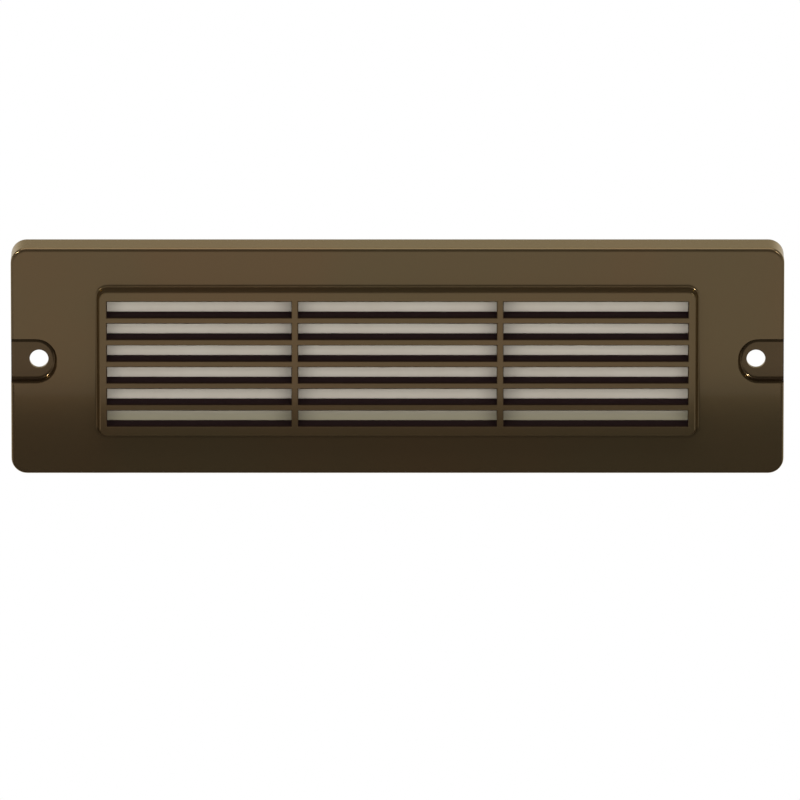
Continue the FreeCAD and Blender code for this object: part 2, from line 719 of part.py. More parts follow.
def make_reflector():
    body = new_body("reflector")
    lip = front_sketch(body, LIP_REAR)
    add_round_rectangle(lip, REFLECTOR_WIDTH, REFLECTOR_HEIGHT, cell("lens_radius"))
    pad(body, lip, cell("reflector_sheet"))
    top = f"({POCKET_FLOOR} - {FLANGE_REAR})"
    outer = new_sketch(body, "YZ_Plane", f"-{TROUGH_LENGTH} / 2")
    add_trough_outline(outer, TROUGH_HALF, cell("trough_straight"), f"({top} + Sizes.reflector_sheet / 2)")
    pad(body, outer, TROUGH_LENGTH)
    inner = new_sketch(body, "YZ_Plane", f"-({TROUGH_LENGTH} / 2 - Sizes.reflector_sheet)")
    straight = f"(Sizes.trough_straight + Sizes.reflector_sheet / 2 + {PAST})"
    add_trough_outline(inner, f"({TROUGH_HALF} - Sizes.reflector_sheet)", straight, f"({top} - {PAST})")
    pocket(body, inner, f"{TROUGH_LENGTH} - 2 * Sizes.reflector_sheet")
    ends = new_sketch(body, "YZ_Plane", f"-{TROUGH_LENGTH} / 2 - {PAST}")
    axis_y = f"({POCKET_FLOOR} - {LAMP_AXIS})"
    add_circle(ends, axis_y, "0", "(Sizes.snout_radius + Sizes.snout_clearance)")
    pocket(body, ends, f"{TROUGH_LENGTH} + 2 * {PAST}")
    holes = front_sketch(body, LIP_REAR)
    for side, level in PLACES:
        clear = "(Sizes.reflector_screw_radius + Sizes.flange_hole_clearance)"
        add_circle(holes, f"{side} * {POST_X}", f"{level} * {POST_Z}", clear)
    pocket(body, holes, cell("reflector_sheet"))
    return body


def place_at_end(piece, side):
    """Put a lamp-end piece on its axis: its own origin is the socket's front, and its X points inward."""
    turn = FreeCAD.Rotation(FreeCAD.Vector(0, 1, 0), 0 if side < 0 else 180)
    spot = FreeCAD.Vector(side * number(SNOUT_FACE_X), plane_y(LAMP_AXIS), 0)
    piece.Placement = FreeCAD.Placement(spot, turn)
    if piece.isDerivedFrom("PartDesign::Body"):
        piece.setExpression("Placement.Base.x", f"{side} * {SNOUT_FACE_X}")
        piece.setExpression("Placement.Base.y", f"{POCKET_FLOOR} - {LAMP_AXIS}")


def make_socket(name, side):
    """A round snout and flange in front, and a moulded block behind them."""
    body = new_body(f"socket_{name}")
    wall_face = "(-(Sizes.snout_length + Sizes.reflector_sheet))"
    flange_rear = f"({wall_face} - Sizes.socket_flange_thickness)"
    outline = [
        (flange_rear, "0"),
        (flange_rear, cell("socket_flange_radius")),
        (wall_face, cell("socket_flange_radius")),
        (wall_face, cell("snout_radius")),
        ("0", cell("snout_radius")),
        ("0", "0"),
    ]
    revolve_profile(body, outline)
    block = new_sketch(body, "YZ_Plane", flange_rear)
    half_y, half_z = "(Sizes.socket_body_height / 2)", "(Sizes.socket_body_width / 2)"
    add_rectangle(block, f"-{half_y}", half_y, f"-{half_z}", half_z)
    pad(body, block, cell("socket_body_length"), backward=True)
    # A step on the block's rear side, where the two leads come out.
    step = new_sketch(body, "XZ_Plane", "-Sizes.lead_block_height")
    step_front = f"({flange_rear} - Sizes.lead_block_setback)"
    half = "(Sizes.lead_block_width / 2)"
    add_rectangle(step, f"({step_front} - Sizes.lead_block_length)", step_front, f"-{half}", half)
    pad(body, step, cell("lead_block_height"))
    mouth = new_sketch(body, "YZ_Plane", "0")
    half_y = "(Sizes.pinch_thickness / 2 + Sizes.contact_space)"
    half_z = "(Sizes.pinch_width / 2 + Sizes.socket_slot_clearance)"
    add_rectangle(mouth, f"-{half_y}", half_y, f"-{half_z}", half_z)
    pocket(body, mouth, "Sizes.pinch_length + Sizes.socket_slot_clearance", backward=True)
    place_at_end(body, side)


def make_contacts(name, side):
    """Two bowed brass leaves, one on each side of the lamp's pinch."""
    wall = number("Sizes.pinch_thickness / 2 + Sizes.contact_space")
    crest = number("Sizes.pinch_thickness / 2 + Sizes.contact_clearance")
    sheet_t = number("Sizes.contact_sheet")
    width = number("Sizes.contact_width")
    length = number("Sizes.pinch_length")
    rear, front, middle = -length, -CONTACT_LIP * length, -length / 2
    inside = wall - sheet_t
    outline = [(rear, wall), (front, wall), (front, inside), (middle, crest), (rear, inside)]
    solids = []
    for face in (-1, 1):
        corners = [FreeCAD.Vector(x, face * y, -width / 2) for x, y in outline]
        leaf = Part.Face(Part.makePolygon(corners + corners[:1]))
        solids.append(leaf.extrude(FreeCAD.Vector(0, 0, width)))
    place_at_end(add_feature(f"contacts_{name}", Part.makeCompound(solids)), side)


def make_lamp(name, side):
    """A blown glass envelope, closed by the flat pinch that goes into the socket."""
    body = new_body(f"lamp_{name}")
    start, radius, wall = cell("lamp_gap"), cell("lamp_radius"), cell("lamp_wall")
    tip = f"({start} + Sizes.lamp_length)"
    shoulder = f"({start} + Sizes.lamp_shoulder)"
    dome = f"({tip} - Sizes.lamp_dome)"
    inner = f"({radius} - {wall})"
    outline = [
        (start, "0"),
        (start, cell("lamp_shoulder_radius")),
        (shoulder, radius),
        (dome, radius),
        (tip, cell("lamp_dome_radius")),
        (tip, "0"),
        (f"({tip} - {wall})", "0"),
        (f"({tip} - {wall})", f"(Sizes.lamp_dome_radius - {wall} / 2)"),
        (f"({dome} - {wall} / 2)", inner),
        (shoulder, inner),
        (shoulder, "0"),
    ]
    revolve_profile(body, outline)
    pinch = new_sketch(body, "YZ_Plane", f"{start} + {wall}")
    half_y, half_z = "(Sizes.pinch_thickness / 2)", "(Sizes.pinch_width / 2)"
    add_rectangle(pinch, f"-{half_y}", half_y, f"-{half_z}", half_z)
    pad(body, pinch, f"Sizes.pinch_length + {wall}", backward=True)
    place_at_end(body, side)


def make_filament(name, side):
    """Two lead-in wires that stand on the pinch, with the coil across their tips."""
    foot = number("Sizes.lamp_gap + Sizes.lamp_shoulder")
    rise = number("Sizes.filament_reach")
    span = number("Sizes.filament_half_span")
    wire = number("Sizes.lead_in_radius")
    coil = number("Sizes.coil_radius")
    along = FreeCAD.Vector(1, 0, 0)
    coil_end = FreeCAD.Vector(foot + rise, 0, -span)
    solid = Part.makeCylinder(coil, 2 * span, coil_end, FreeCAD.Vector(0, 0, 1))
    for level in (-1, 1):
        base = FreeCAD.Vector(foot, 0, level * (span - 2 * wire))
        solid = solid.fuse(Part.makeCylinder(wire, rise, base, along))
    place_at_end(add_feature(f"filament_{name}", solid.removeSplitter()), side)


# ---------------------------------------------------------------------------------------------------------
# The wiring
# ---------------------------------------------------------------------------------------------------------


def bent_tube(points, bend, radius):
    """A round lead: cylinders along its straight runs and, at each turn, a ruled loft along the arc."""
    spans = []
    start = points[0]
    length = 0.0
    for before, corner, after in zip(points, points[1:], points[2:]):
        into = (corner - before).normalize()
        out = (after - corner).normalize()
        turn = into.getAngle(out)
        setback = bend * math.tan(turn / 2)
        arc_start = corner - into * setback
        centre = arc_start + (out - into * math.cos(turn)).normalize() * bend
        axis = into.cross(out).normalize()
        rings = []
        for index in range(BEND_SPANS + 1):
            swing = FreeCAD.Rotation(axis, math.degrees(turn) * index / BEND_SPANS)
            spot = centre + swing.multVec(arc_start - centre)
            rings.append(Part.Wire([Part.makeCircle(radius, spot, swing.multVec(into))]))
        spans.append(Part.makeCylinder(radius, start.distanceToPoint(arc_start), start, into))
        spans.append(Part.makeLoft(rings, True, True))
        length += start.distanceToPoint(arc_start) + bend * turn
        start = corner + out * setback
    last = points[-1] - start
    spans.append(Part.makeCylinder(radius, last.Length, start, FreeCAD.Vector(last).normalize()))
    length += last.Length
    tube = spans[0].multiFuse(spans[1:]).removeSplitter()
    expected = math.pi * radius**2 * length
    if len(tube.Solids) != 1 or abs(tube.Volume - expected) > LEAD_TOLERANCE * expected:
        raise RuntimeError("A lead's volume isn't its section times its length")
    return tube.Solids[0]


def make_leads(name, side):
    flange_rear = number("Sizes.snout_length + Sizes.reflector_sheet + Sizes.socket_flange_thickness")
    from_snout = flange_rear + number("Sizes.lead_block_setback + Sizes.lead_block_length / 2")
    x = side * (number(SNOUT_FACE_X) + from_snout)
    start_y = plane_y(LAMP_AXIS) + number("Sizes.lead_block_height")
    lead_y = plane_y(LEAD_PLANE)
    end_x = side * number("Sizes.sleeve_length / 2")
    solids = []
    for level in (-1, 1):
        z = level * number("Sizes.lead_pitch / 2")
        route = [(x, start_y), (x, lead_y), (end_x, lead_y)]
        points = [FreeCAD.Vector(px, py, z) for px, py in route]
        solids.append(bent_tube(points, number("Sizes.lead_bend_radius"), number("Sizes.lead_radius")))
    add_feature(f"leads_{name}", Part.makeCompound(solids))


def make_terminal_block():
    body = new_body("terminal_block")
    block = front_sketch(body, HOUSING_FLOOR)
    size = (cell("block_length"), cell("block_width"), "(Sizes.lead_radius)")
    add_round_rectangle(block, *size)
    pad(body, block, f"{BLOCK_TOP} - {HOUSING_FLOOR}")
    tunnels = new_sketch(body, "YZ_Plane", "-Sizes.block_length / 2")
    lead_y = f"({POCKET_FLOOR} - {LEAD_PLANE})"
    half = "(Sizes.sleeve_side / 2 + Sizes.sleeve_clearance)"
    for level in (-1, 1):
        lead_z = f"({level} * Sizes.lead_pitch / 2)"
        ends = (f"({lead_y} - {half})", f"({lead_y} + {half})")
        add_rectangle(tunnels, *ends, f"({lead_z} - {half})", f"({lead_z} + {half})")
    pocket(body, tunnels, cell("block_length"))
    shafts = front_sketch(body, LEAD_PLANE)
    for side, level in PLACES:
        spot = (f"{side} * Sizes.clamp_screw_pitch / 2", f"{level} * Sizes.lead_pitch / 2")
        add_circle(shafts, *spot, "(Sizes.clamp_screw_radius + Sizes.screw_clearance)")
    pocket(body, shafts, f"{BLOCK_TOP} - {LEAD_PLANE}")
    middle = front_sketch(body, HOUSING_FLOOR)
    add_circle(middle, "0", "0", "(Sizes.block_screw_radius + Sizes.screw_clearance)")
    pocket(body, middle, f"{BLOCK_TOP} - {HOUSING_FLOOR}")

    # A brass bar in each tunnel joins the leads on its two sides, under one slotted screw each.
    length, thick = number("Sizes.sleeve_length"), number("Sizes.sleeve_side")
    pitch = number("Sizes.lead_pitch")
    sleeve_top = plane_y(LEAD_PLANE) - thick / 2
    rise = sleeve_top - plane_y(BLOCK_TOP) - number("Sizes.clamp_screw_sink")
    radius = number("Sizes.clamp_screw_radius")
    slot_width, slot_depth = number("Sizes.driver_slot_width"), number("Sizes.driver_slot_depth")
    sleeves, clamps = [], []
    for level in (-1, 1):
        corner = FreeCAD.Vector(-length / 2, sleeve_top, (level * pitch - thick) / 2)
        sleeves.append(Part.makeBox(length, thick, thick, corner))
    for side, level in PLACES:
        foot = FreeCAD.Vector(side * number("Sizes.clamp_screw_pitch / 2"), sleeve_top, level * pitch / 2)
        clamp = Part.makeCylinder(radius, rise, foot, FreeCAD.Vector(0, -1, 0))
        corner = foot - FreeCAD.Vector(2 * radius, rise, slot_width / 2)
        clamps.append(clamp.cut(Part.makeBox(4 * radius, slot_depth, slot_width, corner)))
    add_feature("terminal_sleeves", Part.makeCompound(sleeves))
    add_feature("terminal_screws", Part.makeCompound(clamps))
    screws(
        "block_screw",
        BLOCK_TOP,
        [(0.0, 0.0)],
        number("Sizes.block_screw_radius"),
        -number(f"{BLOCK_TOP} - {HOUSING_FLOOR} + Sizes.block_screw_grip"),
        number("Sizes.block_screw_head_radius"),
        number("Sizes.block_screw_head_height"),
        countersunk=False,
    )


def make_gland():
    """The cable gland. Sketches look forward, so what stands out behind the hub is padded backward."""
    hub_x = cell("hub_offset")
    clear_spigot = "(Sizes.spigot_radius + Sizes.spigot_clearance)"
    washer_rear = f"({HUB_FACE} - Sizes.gland_washer_thickness)"
    hex_rear = f"({washer_rear} - Sizes.gland_hex_height)"
    barrel_rear = f"({hex_rear} - Sizes.gland_barrel_height)"
    seal_front = f"({barrel_rear} + Sizes.seal_length)"

    washer = new_body("gland_washer")
    ring = front_sketch(washer, HUB_FACE)
    add_circle(ring, "0", "0", cell("gland_washer_radius"))
    add_circle(ring, "0", "0", clear_spigot)
    pad(washer, ring, cell("gland_washer_thickness"), backward=True)

    body = new_body("gland_body")
    spigot = front_sketch(body, f"{HUB_FACE} + Sizes.spigot_length")
    add_circle(spigot, "0", "0", cell("spigot_radius"))
    pad(body, spigot, f"Sizes.spigot_length + {HUB_FACE} - {barrel_rear}", backward=True)
    hexagon = front_sketch(body, washer_rear)
    add_hexagon(hexagon, cell("gland_flats"))
    pad(body, hexagon, cell("gland_hex_height"), backward=True)
    seat = front_sketch(body, barrel_rear)
    add_circle(seat, "0", "0", "(Sizes.seal_radius + Sizes.spigot_clearance)")
    pocket(body, seat, cell("seal_length"))
    bore = front_sketch(body, seal_front)
    add_circle(bore, "0", "0", cell("gland_bore_radius"))
    pocket(body, bore, f"{HUB_FACE} + Sizes.spigot_length - {seal_front}")

    seal = new_body("gland_seal")
    tube = front_sketch(seal, barrel_rear)
    add_circle(tube, "0", "0", cell("seal_radius"))
    add_circle(tube, "0", "0", cell("cable_radius"))
    pad(seal, tube, cell("seal_length"))

    nut = new_body("gland_nut")
    nut_front = f"({hex_rear} - Sizes.gland_nut_gap)"
    nut_rear = f"({nut_front} - Sizes.gland_nut_height)"
    cap = front_sketch(nut, nut_front)
    add_hexagon(cap, cell("gland_flats"))
    pad(nut, cap, cell("gland_nut_height"), backward=True)
    thread = front_sketch(nut, nut_front)
    add_circle(thread, "0", "0", clear_spigot)
    pocket(nut, thread, f"{nut_front} - {barrel_rear} + Sizes.spigot_clearance", backward=True)
    mouth = front_sketch(nut, nut_rear)
    add_circle(mouth, "0", "0", cell("gland_bore_radius"))
    pocket(nut, mouth, cell("gland_nut_height"))
    rear_y = plane_y(nut_rear)
    half_side = number(f"Sizes.gland_flats / {2 * math.sqrt(3):.9f}")

    def on_rear_rim(edge):
        return lies_flat(edge, rear_y) and abs(edge.Length - 2 * half_side) < 1e-3

    dress_edges(nut, "Fillet", cell("gland_nut_round"), on_rear_rim)
    for piece in (washer, body, seal, nut):
        piece.setExpression("Placement.Base.x", hub_x)


make_cover()
make_lens()
make_housing()
make_housing_screws()
make_reflector()
for end_name, end_side in (("left", -1), ("right", 1)):
    make_socket(end_name, end_side)
    make_contacts(end_name, end_side)
    make_lamp(end_name, end_side)
    make_filament(end_name, end_side)
    make_leads(end_name, end_side)
make_terminal_block()
make_gland()

doc.recompute()
for item in doc.Objects:
    if "Invalid" in item.State or "Error" in item.State:
        raise RuntimeError(f"{item.Name} is {item.State}")

os.makedirs("parts", exist_ok=True)
for piece in pieces:
    shape = piece.Shape
    if shape.isNull() or not shape.isValid():
        raise RuntimeError(f"{piece.Label} has no valid shape")
    shape.exportStep(os.path.join("parts", f"{piece.Label}.step"))
    box = shape.BoundBox
    spans = [(box.XMin, box.XMax), (box.YMin, box.YMax), (box.ZMin, box.ZMax)]
    places = "  ".join(f"{axis} {low:7.2f} {high:7.2f}" for axis, (low, high) in zip("xyz", spans))
    print(f"{piece.Label:18s} {len(shape.Solids):2d} solids {shape.Volume:10.1f} mm3  {places}")
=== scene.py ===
# %% [markdown]
# # A louvred step light
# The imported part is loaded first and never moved. Everything after it dresses that part: the finishes of its
# castings, sheet metal, glass and rubber, and the small forms that a screw or a lamp has and a plain solid
# lacks. Blender works in metres here, and the part's own frame is kept: X along the cover, Z up, and -Y out
# of the wall towards the viewer.

# %% Load the part as a fixed frame
import json
import math

import bmesh
import bpy
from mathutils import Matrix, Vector


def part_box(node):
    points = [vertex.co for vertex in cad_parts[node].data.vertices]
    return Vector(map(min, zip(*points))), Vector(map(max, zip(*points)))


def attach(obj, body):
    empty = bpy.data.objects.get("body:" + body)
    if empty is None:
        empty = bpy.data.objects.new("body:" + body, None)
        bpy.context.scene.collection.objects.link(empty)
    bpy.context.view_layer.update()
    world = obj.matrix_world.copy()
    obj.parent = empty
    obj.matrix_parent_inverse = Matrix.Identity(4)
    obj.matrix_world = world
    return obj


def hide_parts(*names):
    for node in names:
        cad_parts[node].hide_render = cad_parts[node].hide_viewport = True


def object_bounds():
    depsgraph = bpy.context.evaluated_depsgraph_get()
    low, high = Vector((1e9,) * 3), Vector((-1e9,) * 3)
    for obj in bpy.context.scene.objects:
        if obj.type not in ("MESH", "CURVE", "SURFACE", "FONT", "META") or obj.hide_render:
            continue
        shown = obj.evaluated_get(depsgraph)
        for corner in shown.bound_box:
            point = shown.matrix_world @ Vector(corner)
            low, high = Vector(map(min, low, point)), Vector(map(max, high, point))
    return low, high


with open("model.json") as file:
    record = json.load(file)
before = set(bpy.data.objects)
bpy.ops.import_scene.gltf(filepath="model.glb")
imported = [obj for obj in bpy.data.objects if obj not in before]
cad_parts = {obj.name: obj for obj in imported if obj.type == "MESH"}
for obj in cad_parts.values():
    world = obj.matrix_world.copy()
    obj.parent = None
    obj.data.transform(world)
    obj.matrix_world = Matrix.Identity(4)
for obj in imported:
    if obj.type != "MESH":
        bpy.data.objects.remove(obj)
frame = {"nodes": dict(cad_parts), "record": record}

MM = 0.001
scene = bpy.context.scene
cad_low, cad_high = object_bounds()
nodes = frame["nodes"]
print("CAD nodes:", len(nodes), "box:", [round(v / MM, 1) for v in cad_high - cad_low], "mm")

# %% [markdown]
# ## The camera
# The photograph looks at the plate from straight in front and a little above. The plate's sides run parallel
# in it, so the lens is a long one, well back. The framing could come from a lens shift, but a long lens needs
# none: the camera is aimed at the point that falls in the middle of the picture, a little below and to the
# right of the plate's centre, and the plate keeps its proportions.

# %% Place the camera
FRAME_PIXELS = 800
PLATE_PIXELS = 773.0
FACE_CENTRE_PIXEL = (397.5, 361.3)
ELEVATION = math.radians(14.0)
CAMERA_DISTANCE = 6.0
SENSOR_MM = 36.0
CLIP_NEAR = 0.05
CLIP_FAR = 50.0
PANEL_PROUD = 3.8 * MM

plate_low, plate_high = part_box("cover")
face_y = plate_low.y + PANEL_PROUD
face_centre = Vector((0.0, face_y, 0.0))
metres_per_pixel = (plate_high.x - plate_low.x) / PLATE_PIXELS

camera_data = bpy.data.cameras.new("camera")
camera = bpy.data.objects.new("camera", camera_data)
scene.collection.objects.link(camera)
scene.camera = camera
rightward = Vector((1.0, 0.0, 0.0))
upward = Vector((0.0, math.sin(ELEVATION), math.cos(ELEVATION)))
backward = Vector((0.0, -math.cos(ELEVATION), math.sin(ELEVATION)))
middle = FRAME_PIXELS / 2
aim = face_centre
aim = aim + rightward * (middle - FACE_CENTRE_PIXEL[0]) * metres_per_pixel
aim = aim - upward * (middle - FACE_CENTRE_PIXEL[1]) * metres_per_pixel
camera.location = aim + backward * CAMERA_DISTANCE
camera.rotation_mode = "QUATERNION"
camera.rotation_quaternion = (-backward).to_track_quat("-Z", "Y")
field_width = FRAME_PIXELS * metres_per_pixel
camera_data.sensor_width = SENSOR_MM
camera_data.lens = SENSOR_MM * CAMERA_DISTANCE / field_width
camera_data.clip_start = CLIP_NEAR
camera_data.clip_end = CLIP_FAR
print("lens", round(camera_data.lens), "mm,", round(metres_per_pixel / MM, 4), "mm a pixel")

# %% [markdown]
# ## Node maths that reads like maths
# A material's pattern is a small formula, and so is a shape that follows a rule. Nodes could be placed and
# linked one by one, but the formula is then lost among the links. `Signal` wraps one output socket, so that
# `0.3 + 0.2 * grain` adds its Math nodes by itself. Every other node is made by `Network.node`, which takes
# the node's settings first and then what its sockets hold. Finishes, shapes and the studio all share them.

# %% A signal
class Signal:
    """One output socket, which arithmetic can be done on."""

    def __init__(self, network, socket):
        self.network = network
        self.socket = socket

    def _math(self, operation, first, second):
        return self.network.node("ShaderNodeMath", {"operation": operation}, {0: first, 1: second})

    def __add__(self, other):
        return self._math("ADD", self, other)

    __radd__ = __add__

    def __sub__(self, other):
        return self._math("SUBTRACT", self, other)

    def __rsub__(self, other):
        return self._math("SUBTRACT", other, self)

    def __mul__(self, other):
        return self._math("MULTIPLY", self, other)

    __rmul__ = __mul__

    def __truediv__(self, other):
        return self._math("DIVIDE", self, other)

    def __pow__(self, other):
        return self._math("POWER", self, other)

    def limited(self):
        """The same signal, kept between 0 and 1."""
        return self.network.node("ShaderNodeClamp", {}, {"Value": self})

    def rising(self, start, end, first=0.0, last=1.0):
        """The first value below start, the last one above end, and smooth between them."""
        settings = {"interpolation_type": "SMOOTHSTEP"}
        values = {"Value": self, "From Min": start, "From Max": end, "To Min": first, "To Max": last}
        return self.network.node("ShaderNodeMapRange", settings, values)


# %% The network that signals belong to
class Network:
    """A node tree that is written as expressions."""

    def node(self, kind, settings, values, output=0):
        """A new node, and its output as a signal. A list gives one socket several links."""
        made = self.tree.nodes.new(kind)
        for label, value in settings.items():
            setattr(made, label, value)
        for key, value in values.items():
            items = value if isinstance(value, list) else [value]
            for item in items:
                if isinstance(item, Signal):
                    self.tree.links.new(item.socket, made.inputs[key])
                else:
                    made.inputs[key].default_value = item
        if made.outputs:
            return Signal(self, made.outputs[output])


# %% [markdown]
# ## Finishes made of nodes
# A finish could be a painted image, but nodes give the same finish from near and far, and need no file.
# `Finish` starts at the Principled shader. What is the same all over a piece is set on the shader's own
# sockets, and only what changes over the surface is linked to it. The pattern follows Object coordinates, so
# it stays on the piece when the piece moves. Colours are written as they look on a screen.

# %% A finish
SOFT_EDGE = 0.25 * MM


class Finish(Network):
    """A node material, built from its Principled shader outwards."""

    def __init__(self, name, **constants):
        self.material = bpy.data.materials.new(name)
        self.material.use_nodes = True
        self.tree = self.material.node_tree
        self.shader = self.tree.nodes["Principled BSDF"]
        for label, value in constants.items():
            self.shader.inputs[label.replace("_", " ")].default_value = value
        self.place = self.node("ShaderNodeTexCoord", {}, {}, output="Object")

    def axis(self, name):
        """One coordinate of the place on the piece, in metres."""
        return self.node("ShaderNodeSeparateXYZ", {}, {"Vector": self.place}, output=name)

    def near_middle(self, name, half):
        """1 where this coordinate is within half a width of the middle, and 0 past a soft edge."""
        return 1 - (self.axis(name) ** 2).rising(half ** 2, (half + SOFT_EDGE) ** 2)

    def noise(self, per_metre, detail=2.0, roughness=0.5, seed=0.0):
        """Cloudy noise between 0 and 1. The seed is its place along a fourth axis."""
        values = {
            "Vector": self.place,
            "W": seed,
            "Scale": per_metre,
            "Detail": detail,
            "Roughness": roughness,
        }
        return self.node("ShaderNodeTexNoise", {"noise_dimensions": "4D"}, values)

    def mix(self, mask, first, second):
        """The first colour where the mask is 0, the second where it is 1."""
        return self.node("ShaderNodeMix", {"data_type": "RGBA"}, {0: mask, 6: first, 7: second}, output=2)

    def feed(self, **signals):
        """Link signals to the shader's sockets, named with underscores for spaces."""
        for label, signal in signals.items():
            self.tree.links.new(signal.socket, self.shader.inputs[label.replace("_", " ")])

    def bump(self, height, depth_mm, strength):
        values = {"Height": height, "Distance": depth_mm * MM, "Strength": strength}
        self.feed(Normal=self.node("ShaderNodeBump", {}, values))


# %% Colours as they look on a screen
SRGB_FOOT = 0.04045
SRGB_SLOPE = 12.92
SRGB_OFFSET = 0.055
SRGB_POWER = 2.4


def colour(red, green, blue):
    """A display colour, 0 to 255, as the linear colour that a shader takes."""
    linear = []
    for part in (red, green, blue):
        value = part / 255
        if value <= SRGB_FOOT:
            linear.append(value / SRGB_SLOPE)
        else:
            linear.append(((value + SRGB_OFFSET) / (1 + SRGB_OFFSET)) ** SRGB_POWER)
    return (*linear, 1.0)


print("display grey 128 is", round(colour(128, 128, 128)[0], 3), "to a shader")

# %% A place to keep the finishes
FINISHES = {}


def keep(material_slot, material):
    """Keep a finish under the material slot of the CAD nodes that wear it."""
    FINISHES[material_slot] = material
    print(material_slot, "wears", material.name, "with", len(material.node_tree.nodes), "nodes")


# %% [markdown]
# ## The bronze powder coat
# The casting has a dark bronze powder coat. Up close such a coat has a slight orange peel, and its pigment
# drifts a little between redder and greener brown. The coat is thinner and duller inside the slots, where
# the spray hardly reaches, so it is rougher and less metallic there, and the slots are painted a dark
# brown as shade, darkest near the mouth. The two screw pockets are painted darker as shade, most of all on
# their lower wall. Each of these areas could have a material of its own, but the borders would then be hard
# lines. One shader is used, and masks made from the place on the casting lead it softly from one state to
# the next. The housing has the same coat without the masks.

# %% Where the slots and the pockets are
SLOTS_HALF_WIDTH = 83.45 * MM
SLOTS_HALF_HEIGHT = 18.41 * MM
SLOT_START = (0.01 * MM, 0.2 * MM)
POCKET_START = (0.6 * MM, 1.6 * MM)
BELOW_POCKET_FLOOR = (0.3 * MM, 1.0 * MM)
POCKET_INNER = 98.0 * MM
POCKET_HALF_HEIGHT = 6.55 * MM


def behind(finish, front_y, ends):
    """Rises from 0 to 1 between two depths behind a plane."""
    return finish.axis("Y").rising(front_y + ends[0], front_y + ends[1])


def slot_mask(finish):
    """1 behind the panel's front and within its field of slots."""
    beside = finish.near_middle("X", SLOTS_HALF_WIDTH)
    within = finish.near_middle("Z", SLOTS_HALF_HEIGHT)
    return behind(finish, plate_low.y, SLOT_START) * beside * within


def pocket_mask(finish):
    """1 on the walls and the floor of the pocket at each end."""
    sunk = behind(finish, face_y, POCKET_START) * (1 - finish.axis("Y").rising(*BELOW_POCKET_FLOOR))
    at_end = 1 - finish.near_middle("X", POCKET_INNER - SOFT_EDGE)
    return sunk * at_end * finish.near_middle("Z", POCKET_HALF_HEIGHT)


print("slots within", [round(v / MM, 1) for v in (SLOTS_HALF_WIDTH, SLOTS_HALF_HEIGHT)], "mm of the middle")

# %% Spray the cover and the housing
METAL = 0.7
COAT = 0.12
EDGE_TINT = (1.0, 0.84, 0.56, 1.0)
REDDER_BROWN = colour(93, 75, 52)
GREENER_BROWN = colour(90, 76, 53)
DRIFT_ENDS = (0.35, 0.65)
GRAIN_IN_BUMP = 0.15
OPEN_ROUGHNESS = 0.17
GRAIN_ROUGHNESS = 0.05
# Painted shade in the slots: a dark brown that is darkest at the mouth, and the depths over which it lightens.
SLOT_SHADE_AT_MOUTH = colour(40, 28, 22)
SLOT_SHADE_INSIDE = colour(74, 57, 58)
SLOT_SHADE_DEPTHS = (0.5 * MM, 4.5 * MM)
SLOT_ROUGHNESS = 0.6
# Painted shade in the screw pockets: a darker brown, stronger on the lower wall.
POCKET_SHADE_BROWN = colour(50, 36, 24)
POCKET_SHADE = 0.4
LOWER_WALL_SHADE = 0.45
POCKET_LOWER_WALL = (-5.9 * MM, -5.0 * MM)


def bronze_coat(name, louvred):
    finish = Finish(
        name,
        Metallic=METAL,
        Specular_IOR_Level=0.0,
        Specular_Tint=EDGE_TINT,
        Coat_Weight=COAT,
        Coat_Roughness=0.05,
        Coat_IOR=1.5,
    )
    drift = finish.noise(per_metre=18.0, detail=3.0, seed=1.0).rising(*DRIFT_ENDS)
    grain = finish.noise(per_metre=900.0, detail=2.0, seed=2.0)
    peel = finish.noise(per_metre=420.0, detail=1.0, roughness=0.4, seed=3.0)
    brown = finish.mix(drift, REDDER_BROWN, GREENER_BROWN)
    roughness = OPEN_ROUGHNESS + GRAIN_ROUGHNESS * grain
    if louvred:
        slot = slot_mask(finish)
        # Painted shade: inside the slots the brown gives way to a dark colour, darkest near the mouth.
        slot_shade = finish.mix(behind(finish, plate_low.y, SLOT_SHADE_DEPTHS), SLOT_SHADE_AT_MOUTH, SLOT_SHADE_INSIDE)
        brown = finish.mix(slot, brown, slot_shade)
        # Painted shade: the pockets turn darker brown, most of all on their lower wall.
        lower_wall = 1 - finish.axis("Z").rising(*POCKET_LOWER_WALL)
        shade = pocket_mask(finish) * (POCKET_SHADE + LOWER_WALL_SHADE * lower_wall)
        brown = finish.mix(shade, brown, POCKET_SHADE_BROWN)
        roughness = roughness + SLOT_ROUGHNESS * slot
        finish.feed(
            Metallic=(METAL - METAL * slot).limited(),
            Coat_Weight=(COAT - COAT * slot).limited(),
        )
    finish.feed(Base_Color=brown, Roughness=roughness.limited())
    finish.bump(peel + GRAIN_IN_BUMP * grain, depth_mm=0.02, strength=0.3)
    return finish.material


keep("cast_bronze", bronze_coat("bronze_powder_coat", louvred=True))
keep("housing_coat", bronze_coat("bronze_housing_coat", louvred=False))

# %% [markdown]
# ## The frosted pane
# The pane is frosted glass. Its etched face scatters nearly all the light that reaches it. A glass shader
# could do that, but it would need many samples and would show the lamps behind, which the photograph doesn't.
# So the pane is painted as what it reads as: a pale, warm grey sheet with a very soft shine, and a little
# mottling where the etch is uneven. Its lowest band, behind the bottom slots, is painted duller and
# yellower as shade.

# %% Frost the pane
PALE = colour(240, 230, 212)
PALER = colour(246, 237, 220)
# Painted shade: the colour of the pane's lowest band, and the heights over which it fades.
LOW_BAND_SHADE = colour(186, 178, 150)
SHADED_BAND = (-17.4 * MM, -14.2 * MM)
MOTTLE_ENDS = (0.3, 0.7)
ETCH_ROUGHNESS = 0.45
ETCH_VARIATION = 0.15


